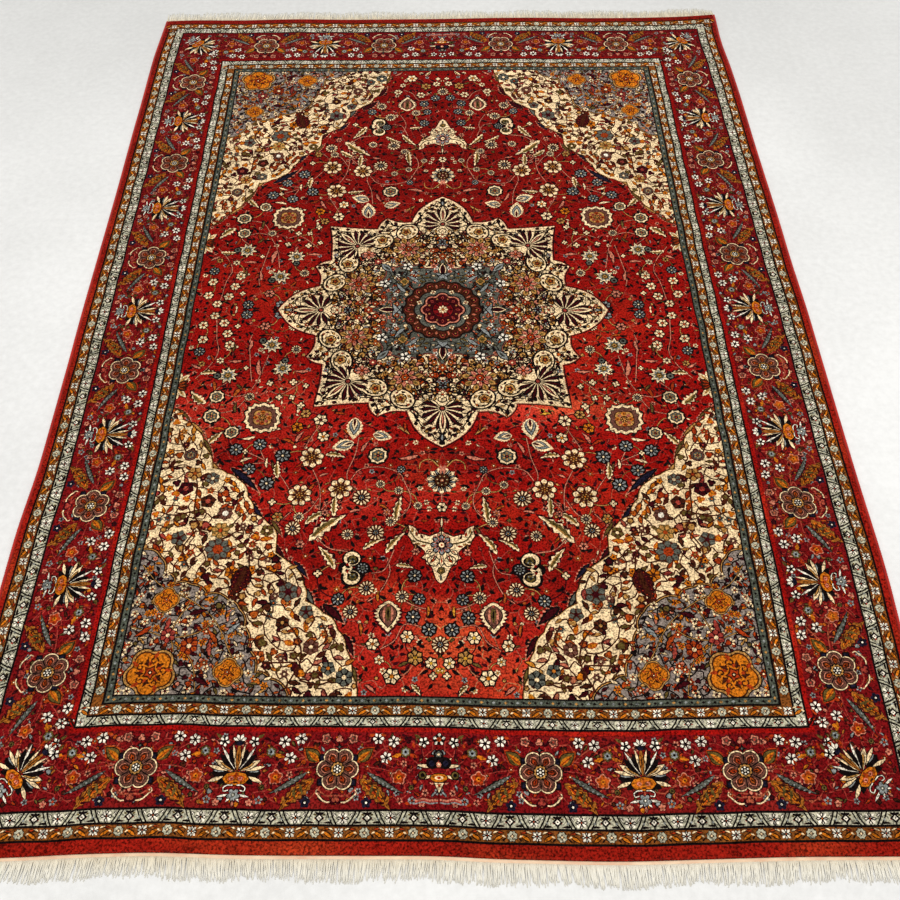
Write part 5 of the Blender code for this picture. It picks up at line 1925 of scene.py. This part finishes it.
def fringe(name, side, length, number, seed):
    """Strands of four sides. Strand k leaves the woven end at its own place and wanders:
    x = root + lean s^1.3 + sway sin(3 s), y = s length, lying on the floor, thinner at the tip."""
    chance = np.random.default_rng(seed)
    x, y, under = end_line(side, 600)
    root = np.sort(chance.uniform(x[0] + 0.001, x[-1] - 0.001, number))
    even = np.linspace(x[0] + 0.001, x[-1] - 0.001, number)
    root = 0.75 * even + 0.25 * root
    s = np.linspace(0, 1, 5)
    tuft = 0.0014 * np.sin(root * 260 + 3 * np.sin(root * 31))
    lean = chance.normal(0, 0.0026, number) + 0.004 * np.sin(root * 9 + side) + tuft
    sway = chance.normal(0, 0.0009, number)
    ragged = 1 + 0.10 * np.sin(root * 23 + seed) + 0.06 * np.sin(root * 71)
    ragged += chance.normal(0, 0.09, number)
    full = length * np.clip(ragged, 0.62, 1.22)
    px = root[:, None] + lean[:, None] * s**1.3 + sway[:, None] * np.sin(3.2 * s)
    start = np.interp(root, x, y) + side * 0.0066
    py = start[:, None] + side * full[:, None] * s
    rise = np.interp(root, x, under)
    layer = chance.uniform(0, 0.0022, number)
    over = layer[:, None] * np.sin(np.pi * (0.1 + 0.9 * s))
    pz = 0.0011 + (rise[:, None] * 0.5 + 0.0011) * (1 - s) ** 2 + over
    thick = 0.00134 * (1 - 0.4 * s**2)
    corner = np.array(((1, 0), (0, 1), (-1, 0), (0, -1)), float)
    points = np.stack((px[..., None] + thick[:, None] * corner[:, 0],
                       np.repeat(py[..., None], 4, -1),
                       pz[..., None] + thick[:, None] * corner[:, 1] * 0.85), -1)
    i = np.arange(number * len(s) * 4).reshape(number, len(s), 4)
    j = np.roll(i, -1, 2)
    quads = np.stack((i[:, :-1], i[:, 1:], j[:, 1:], j[:, :-1]), -1).reshape(-1, 4)
    caps = np.concatenate((i[:, 0], i[:, -1, ::-1]))
    faces = np.concatenate((quads, caps))
    return object_from(name, points.reshape(-1, 3), faces if side > 0 else faces[:, ::-1])


ENDS = {
    "fringe_near": (woven_end("woven_end_near", -1),
                    fringe("fringe_strands_near", -1, 0.036, 1250, 31)),
    "fringe_far": (woven_end("woven_end_far", 1),
                   fringe("fringe_strands_far", 1, 0.046, 1000, 32)),
}
print("strands", [len(p[1].data.polygons) for p in ENDS.values()], "faces")


# %% [markdown]
# ## Dyed wool and cotton
#
# Each knot takes its yarn from one batch, so the dyes vary a little from knot to knot, and in
# slow bands across the carpet where a new batch was started. The pile also leans, which makes it
# shine at a low angle; that shine and the shade beside it are painted into the reds as paler,
# more orange patches and darker ones. The wool's own colour attribute carries the dye, and noise
# read in object coordinates adds the rest.

# %% Materials
class Nodes:
    """A material, with short ways to add nodes and join them. Each returns an output socket."""

    def __init__(self, name):
        self.material = bpy.data.materials.new(name)
        self.material.use_nodes = True
        self.tree = self.material.node_tree
        self.shader = self.tree.nodes["Principled BSDF"]

    def add(self, kind, settings=None, **inputs):
        """The node itself. An input is named by its socket, or by _ and the socket's number."""
        node = self.tree.nodes.new(kind)
        for key, value in (settings or {}).items():
            setattr(node, key, value)
        for key, value in inputs.items():
            socket = int(key[1:]) if key[0] == "_" else key.replace("_", " ")
            self.feed(node.inputs[socket], value)
        return node

    def feed(self, socket, value):
        """Joins another node's output to a socket, or sets the socket to a plain value."""
        if isinstance(value, bpy.types.NodeSocket):
            self.tree.links.new(value, socket)
        else:
            socket.default_value = value

    def math(self, operation, *values):
        """One operation on numbers."""
        return self.add("ShaderNodeMath", {"operation": operation},
            **{f"_{k}": v for k, v in enumerate(values)}).outputs[0]

    def times(self, a, b):
        return self.math("MULTIPLY", a, b)

    def plus(self, a, b):
        return self.math("ADD", a, b)

    def metres(self):
        """Object coordinates, which are metres here."""
        return self.add("ShaderNodeTexCoord").outputs["Object"]

    def scaled(self, vector, scale, shift=(0, 0, 0)):
        """The vector times scale, plus shift."""
        return self.add("ShaderNodeMapping", None, Vector=vector, Scale=scale,
            Location=shift).outputs[0]

    def noise(self, vector, scale, detail=2.0, rough=0.5):
        """Smooth noise from 0 to 1, with scale swells to the metre."""
        return self.add("ShaderNodeTexNoise", None, Vector=vector, Scale=scale, Detail=detail,
            Roughness=rough).outputs["Fac"]

    def ramp(self, value, low, high, to_low=0.0, to_high=1.0):
        """The span from low to high, spread over to_low to to_high and held outside it."""
        return self.add("ShaderNodeMapRange", None, _0=value, _1=low, _2=high, _3=to_low,
            _4=to_high).outputs[0]

    def swell(self, at, x, y, reach_x, reach_y):
        """One at the middle of an ellipse, falling smoothly to nought at 1.7 times its reach."""
        near = self.scaled(at, (1 / reach_x, 1 / reach_y, 0), (-x / reach_x, -y / reach_y, 0))
        far = self.add("ShaderNodeVectorMath", {"operation": "LENGTH"}, _0=near).outputs["Value"]
        return self.add("ShaderNodeMapRange", {"interpolation_type": "SMOOTHSTEP"}, _0=far, _1=0.0,
            _2=1.7, _3=1.0, _4=0.0).outputs[0]

    def mix(self, share, a, b, blend="MIX"):
        """Colour a, with so much of b laid over it."""
        node = self.add("ShaderNodeMix", {"data_type": "RGBA", "blend_type": blend})
        for number, value in ((0, share), (6, a), (7, b)):
            self.feed(node.inputs[number], value)
        return node.outputs[2]

    def tinted(self, share, colour, factors):
        """The colour, and as far as share says the colour times three factors."""
        return self.mix(share, colour, self.mix(1.0, colour, (*factors, 1), "MULTIPLY"))

    def finish(self, colour, roughness, sheen, bump=None, height=0.0, gloss=0.03):
        """Joins the colour and the bump to the shader, and sets what is the same all over."""
        values = {"Base Color": colour, "Roughness": roughness, "Specular IOR Level": gloss,
                  "Sheen Weight": sheen, "Sheen Roughness": 0.5}
        if bump is not None:
            node = self.add("ShaderNodeBump", None, Strength=0.6, Distance=height, Height=bump)
            values["Normal"] = node.outputs[0]
        for name, value in values.items():
            self.feed(self.shader.inputs[name], value)
        return self.material


# painted sheen (strength over nought) and painted shade (under nought) on the reds: x, y, reach across
# and along, strength
SHEEN_AND_SHADE = (
    (-0.44, -0.31, 0.20, 0.060, 0.32), (0.23, -0.345, 0.12, 0.042, 0.85),
    (0.36, -0.36, 0.14, 0.050, 0.30), (-0.62, -0.37, 0.10, 0.090, 0.30),
    (-0.18, -0.61, 0.26, 0.055, 0.30), (-0.31, -0.43, 0.14, 0.050, 0.22),
    (-0.02, -1.00, 0.42, 0.130, 0.30), (0.06, -0.50, 0.26, 0.045, -0.50),
    (-0.56, -0.51, 0.10, 0.060, -0.40), (-0.30, -0.76, 0.26, 0.080, -0.40),
    (0.32, -0.80, 0.22, 0.090, -0.40), (0.0, 0.55, 0.75, 0.50, -0.40),
)


def wool_pile(name):
    """The pile's dye times a grey that changes from knot to knot, in specks, in clouds and in bands
    across, and painted light on its reds: painted sheen, paler and more orange, and painted shade,
    darker."""
    m = Nodes(name)
    at = m.metres()
    dye = m.add("ShaderNodeAttribute", {"attribute_name": "dye"}).outputs["Color"]
    # one grey value for each group of knots, 3 mm across, and a wider mottle
    knot = m.add("ShaderNodeVectorMath", {"operation": "SNAP"}, _0=at,
        _1=(0.0030, 0.0030, 10.0)).outputs[0]
    single = m.add("ShaderNodeTexWhiteNoise", {"noise_dimensions": "3D"}, Vector=knot).outputs["Value"]
    speck = m.noise(at, 210.0, 2.0, 0.6)
    cloud = m.noise(at, 22.0, 4.0, 0.65)
    band = m.noise(m.scaled(at, (0.5, 9.0, 1.0)), 1.0, 3.0, 0.55)
    value = m.plus(m.ramp(single, 0, 1, 0.70, 1.16), m.ramp(cloud, 0.3, 0.7, -0.20, 0.16))
    value = m.times(value, m.ramp(band, 0.35, 0.65, 0.88, 1.08))
    value = m.times(value, m.ramp(speck, 0.36, 0.56, 0.28, 1.28))
    grey = m.add("ShaderNodeCombineColor", None, Red=value, Green=value, Blue=value).outputs[0]
    colour = m.mix(1.0, dye, grey, "MULTIPLY")
    # painted sheen: the reds paler and more orange towards the near end and in patches; painted shade
    # darkens the far end
    apart = m.add("ShaderNodeSeparateXYZ", None, Vector=at)
    channels = m.add("ShaderNodeSeparateColor", None, Color=dye)
    excess = m.math("SUBTRACT", channels.outputs[0], m.times(channels.outputs[1], 4.0))
    redness = m.ramp(excess, 0.05, 0.2)
    sheen_mottle = m.ramp(m.noise(m.scaled(at, (2.6, 4.2, 1.0), (0.35, 0.2, 0)), 1.0, 2.0, 0.5), 0.52, 0.66)
    sheen_patches = m.times(redness, m.times(sheen_mottle, m.ramp(apart.outputs[1], -0.9, 0.7, 0.85, 0.1)))
    colour = m.tinted(sheen_patches, colour, (1.5, 3.9, 2.2))
    # painted sheen and painted shade on the reds, from the table's ellipses and broken into streaks
    streak = m.ramp(m.noise(m.scaled(at, (3.0, 26.0, 1.0)), 1.0, 3.0, 0.6), 0.3, 0.7, 0.5, 1.4)
    painted_sheen, kept = 0.0, 0.0
    for *ellipse, strength in SHEEN_AND_SHADE:
        part = m.times(m.swell(at, *ellipse), abs(strength))
        painted_sheen, kept = (m.plus(painted_sheen, part), kept) if strength > 0 else (painted_sheen, m.plus(kept, part))
    painted_sheen = m.times(redness, m.times(painted_sheen, streak))
    colour = m.tinted(painted_sheen, colour, (2.3, 10.0, 8.0))
    # painted shade: darker reds where the table's strength is under nought
    colour = m.tinted(m.times(redness, kept), colour, (0.45, 1.2, 1.2))
    # painted shade: the reds darker and bluer towards the far end
    far_shade = m.times(redness, m.ramp(apart.outputs[1], 0.0, 1.4, 0.0, 1.0))
    colour = m.tinted(far_shade, colour, (0.80, 0.9, 1.05))
    # painted sheen: the other dyes paler towards the far end, where the pile is seen at a low angle
    pale = m.times(m.math("SUBTRACT", 1.0, redness), m.ramp(apart.outputs[1], 0.1, 1.3, 0.0, 1.0))
    colour = m.tinted(pale, colour, (1.20, 1.21, 1.25))
    # threads of the pile: fine bump, coarser tufts
    tuft = m.plus(m.noise(at, 420.0, 2.0), m.times(m.noise(at, 60.0, 2.0), 1.2))
    return m.finish(colour, 0.95, 0.0, tuft, 0.0012)


def plain_yarn(name, colour, other, stretch, roughness=0.85, sheen=0.2, tips=None):
    """Undyed or one-colour yarn: two shades mixed by noise drawn out along the thread. With tips,
    the yarn turns to that shade over the last few centimetres of the carpet's length."""
    m = Nodes(name)
    at = m.metres()
    share = m.noise(m.scaled(at, stretch), 1.0, 3.0, 0.6)
    made = m.mix(m.ramp(share, 0.3, 0.7), (*colour, 1), (*other, 1))
    if tips:
        far = m.math("ABSOLUTE", m.add("ShaderNodeSeparateXYZ", None, Vector=at).outputs[1])
        made = m.mix(m.ramp(far, HALF_LENGTH + 0.012, HALF_LENGTH + 0.042, 0.0, 0.85), made, (*tips, 1))
    return m.finish(made, roughness, sheen, share, 0.0006)


WOOL = wool_pile("wool_pile_knots")
BINDING = plain_yarn("wool_overcasting", (0.50, 0.030, 0.018), (0.32, 0.018, 0.016), (60, 25, 60))
COTTON = plain_yarn("cotton_warp", (0.86, 0.77, 0.59), (0.66, 0.58, 0.43), (90, 14, 60), 0.9, 0.1,
                    tips=(0.88, 0.85, 0.76))
END_WEAVE = plain_yarn("cotton_plain_weave", (0.90, 0.70, 0.48), (0.74, 0.46, 0.30),
                       (25, 70, 40), 0.9, 0.1)
BACK = plain_yarn("foundation_knots", (0.34, 0.10, 0.07), (0.22, 0.05, 0.04), (180, 180, 10), 0.9, 0.1)
for piece in PILE.values():
    piece.data.materials.append(WOOL)
BASE.data.materials.append(BACK)
for piece in SIDES.values():
    piece.data.materials.append(BINDING)
for strip, strands in ENDS.values():
    strip.data.materials.append(END_WEAVE)
    strands.data.materials.append(COTTON)
print("materials", len(bpy.data.materials))

# %% [markdown]
# ## Floor, light and camera
#
# The carpet lies on a pale, faintly marked floor in an evenly lit hall: one broad lamp high over
# its far half and the light of the pale walls, so the shadows are soft and short. Painted shade
# darkens the floor a little towards the far side. The camera stands just over nine tenths of a
# carpet's width in front of it, at a standing person's height.

# %% Floor
def floor():
    """A flat square, larger than the view, with its top at the floor's level."""
    made = object_from("floor", np.array(((-9, -7, 0), (9, -7, 0), (9, 13, 0), (-9, 13, 0)), float),
        [[0, 1, 2, 3]], False)
    m = Nodes("pale_floor")
    at = m.metres()
    cloud = m.noise(at, 1.1, 4.0, 0.6)
    fleck = m.noise(at, 55.0, 3.0, 0.6)
    share = m.plus(m.times(cloud, 0.6), m.times(fleck, 0.4))
    colour = m.mix(m.ramp(share, 0.38, 0.62), (0.74, 0.735, 0.72, 1), (0.86, 0.855, 0.84, 1))
    # painted shade: the floor is darker towards the far side, where less of the lamp's light falls
    depth = m.add("ShaderNodeSeparateXYZ", None, Vector=at).outputs[1]
    colour = m.tinted(m.ramp(depth, -0.2, 2.2), colour, (0.86, 0.86, 0.85))
    made.data.materials.append(m.finish(colour, 0.55, 0.0, gloss=0.3))
    print("floor:", *made.data.vertices[2].co[:2], "m at its far right corner")


floor()

# %% Light and camera
scene = bpy.context.scene
world = bpy.data.worlds.new("hall")
scene.world = world
world.use_nodes = True
walls = world.node_tree.nodes["Background"]
walls.inputs["Color"].default_value = (0.97, 0.985, 1.0, 1)
walls.inputs["Strength"].default_value = 0.62
scene.view_settings.view_transform = "Standard"

light = bpy.data.lights.new("hall_light", "AREA")
light.shape, light.size, light.size_y = "RECTANGLE", 5.5, 5.5
light.energy, light.color = 168, (1.0, 0.975, 0.93)
lamp, lit = bpy.data.objects.new("hall_light", light), Vector((0, -0.1, 0))
lamp.location = (0.2, -0.4, 4.4)
lamp.rotation_euler = (lit - lamp.location).to_track_quat("-Z", "Y").to_euler()
scene.collection.objects.link(lamp)

# the camera's own axes: where it looks, its right and its up
eye = Vector((0.0520 + MOVE[0], -1.7237 + MOVE[1], 1.9031 + THICKNESS))
ahead, right = Vector((-0.01383, 0.55288, -0.83315)), Vector((0.99988, 0.00218, -0.01515))
up = Vector((0.00656, 0.83326, 0.55284))
camera = bpy.data.objects.new("camera", bpy.data.cameras.new("camera"))
scene.collection.objects.link(camera)
camera.data.sensor_width, camera.data.lens = 36.0, 36.85
camera.rotation_mode = "QUATERNION"
camera.rotation_quaternion = Matrix((right, up, -ahead)).transposed().to_quaternion()
camera.location = eye
camera.data.clip_start, camera.data.clip_end = 0.05, 60
scene.camera = camera
print("camera at", [round(v, 3) for v in eye])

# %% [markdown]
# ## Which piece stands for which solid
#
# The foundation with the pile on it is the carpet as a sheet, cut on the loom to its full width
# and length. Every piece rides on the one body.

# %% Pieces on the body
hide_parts("rug")
for piece in [BASE, *PILE.values()]:
    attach(piece, "root")
for node, piece in SIDES.items():
    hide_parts(node)
    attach(piece, "root")
for node, (strip, strands) in ENDS.items():
    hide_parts(node)
    for piece in (strip, strands):
        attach(piece, "root")
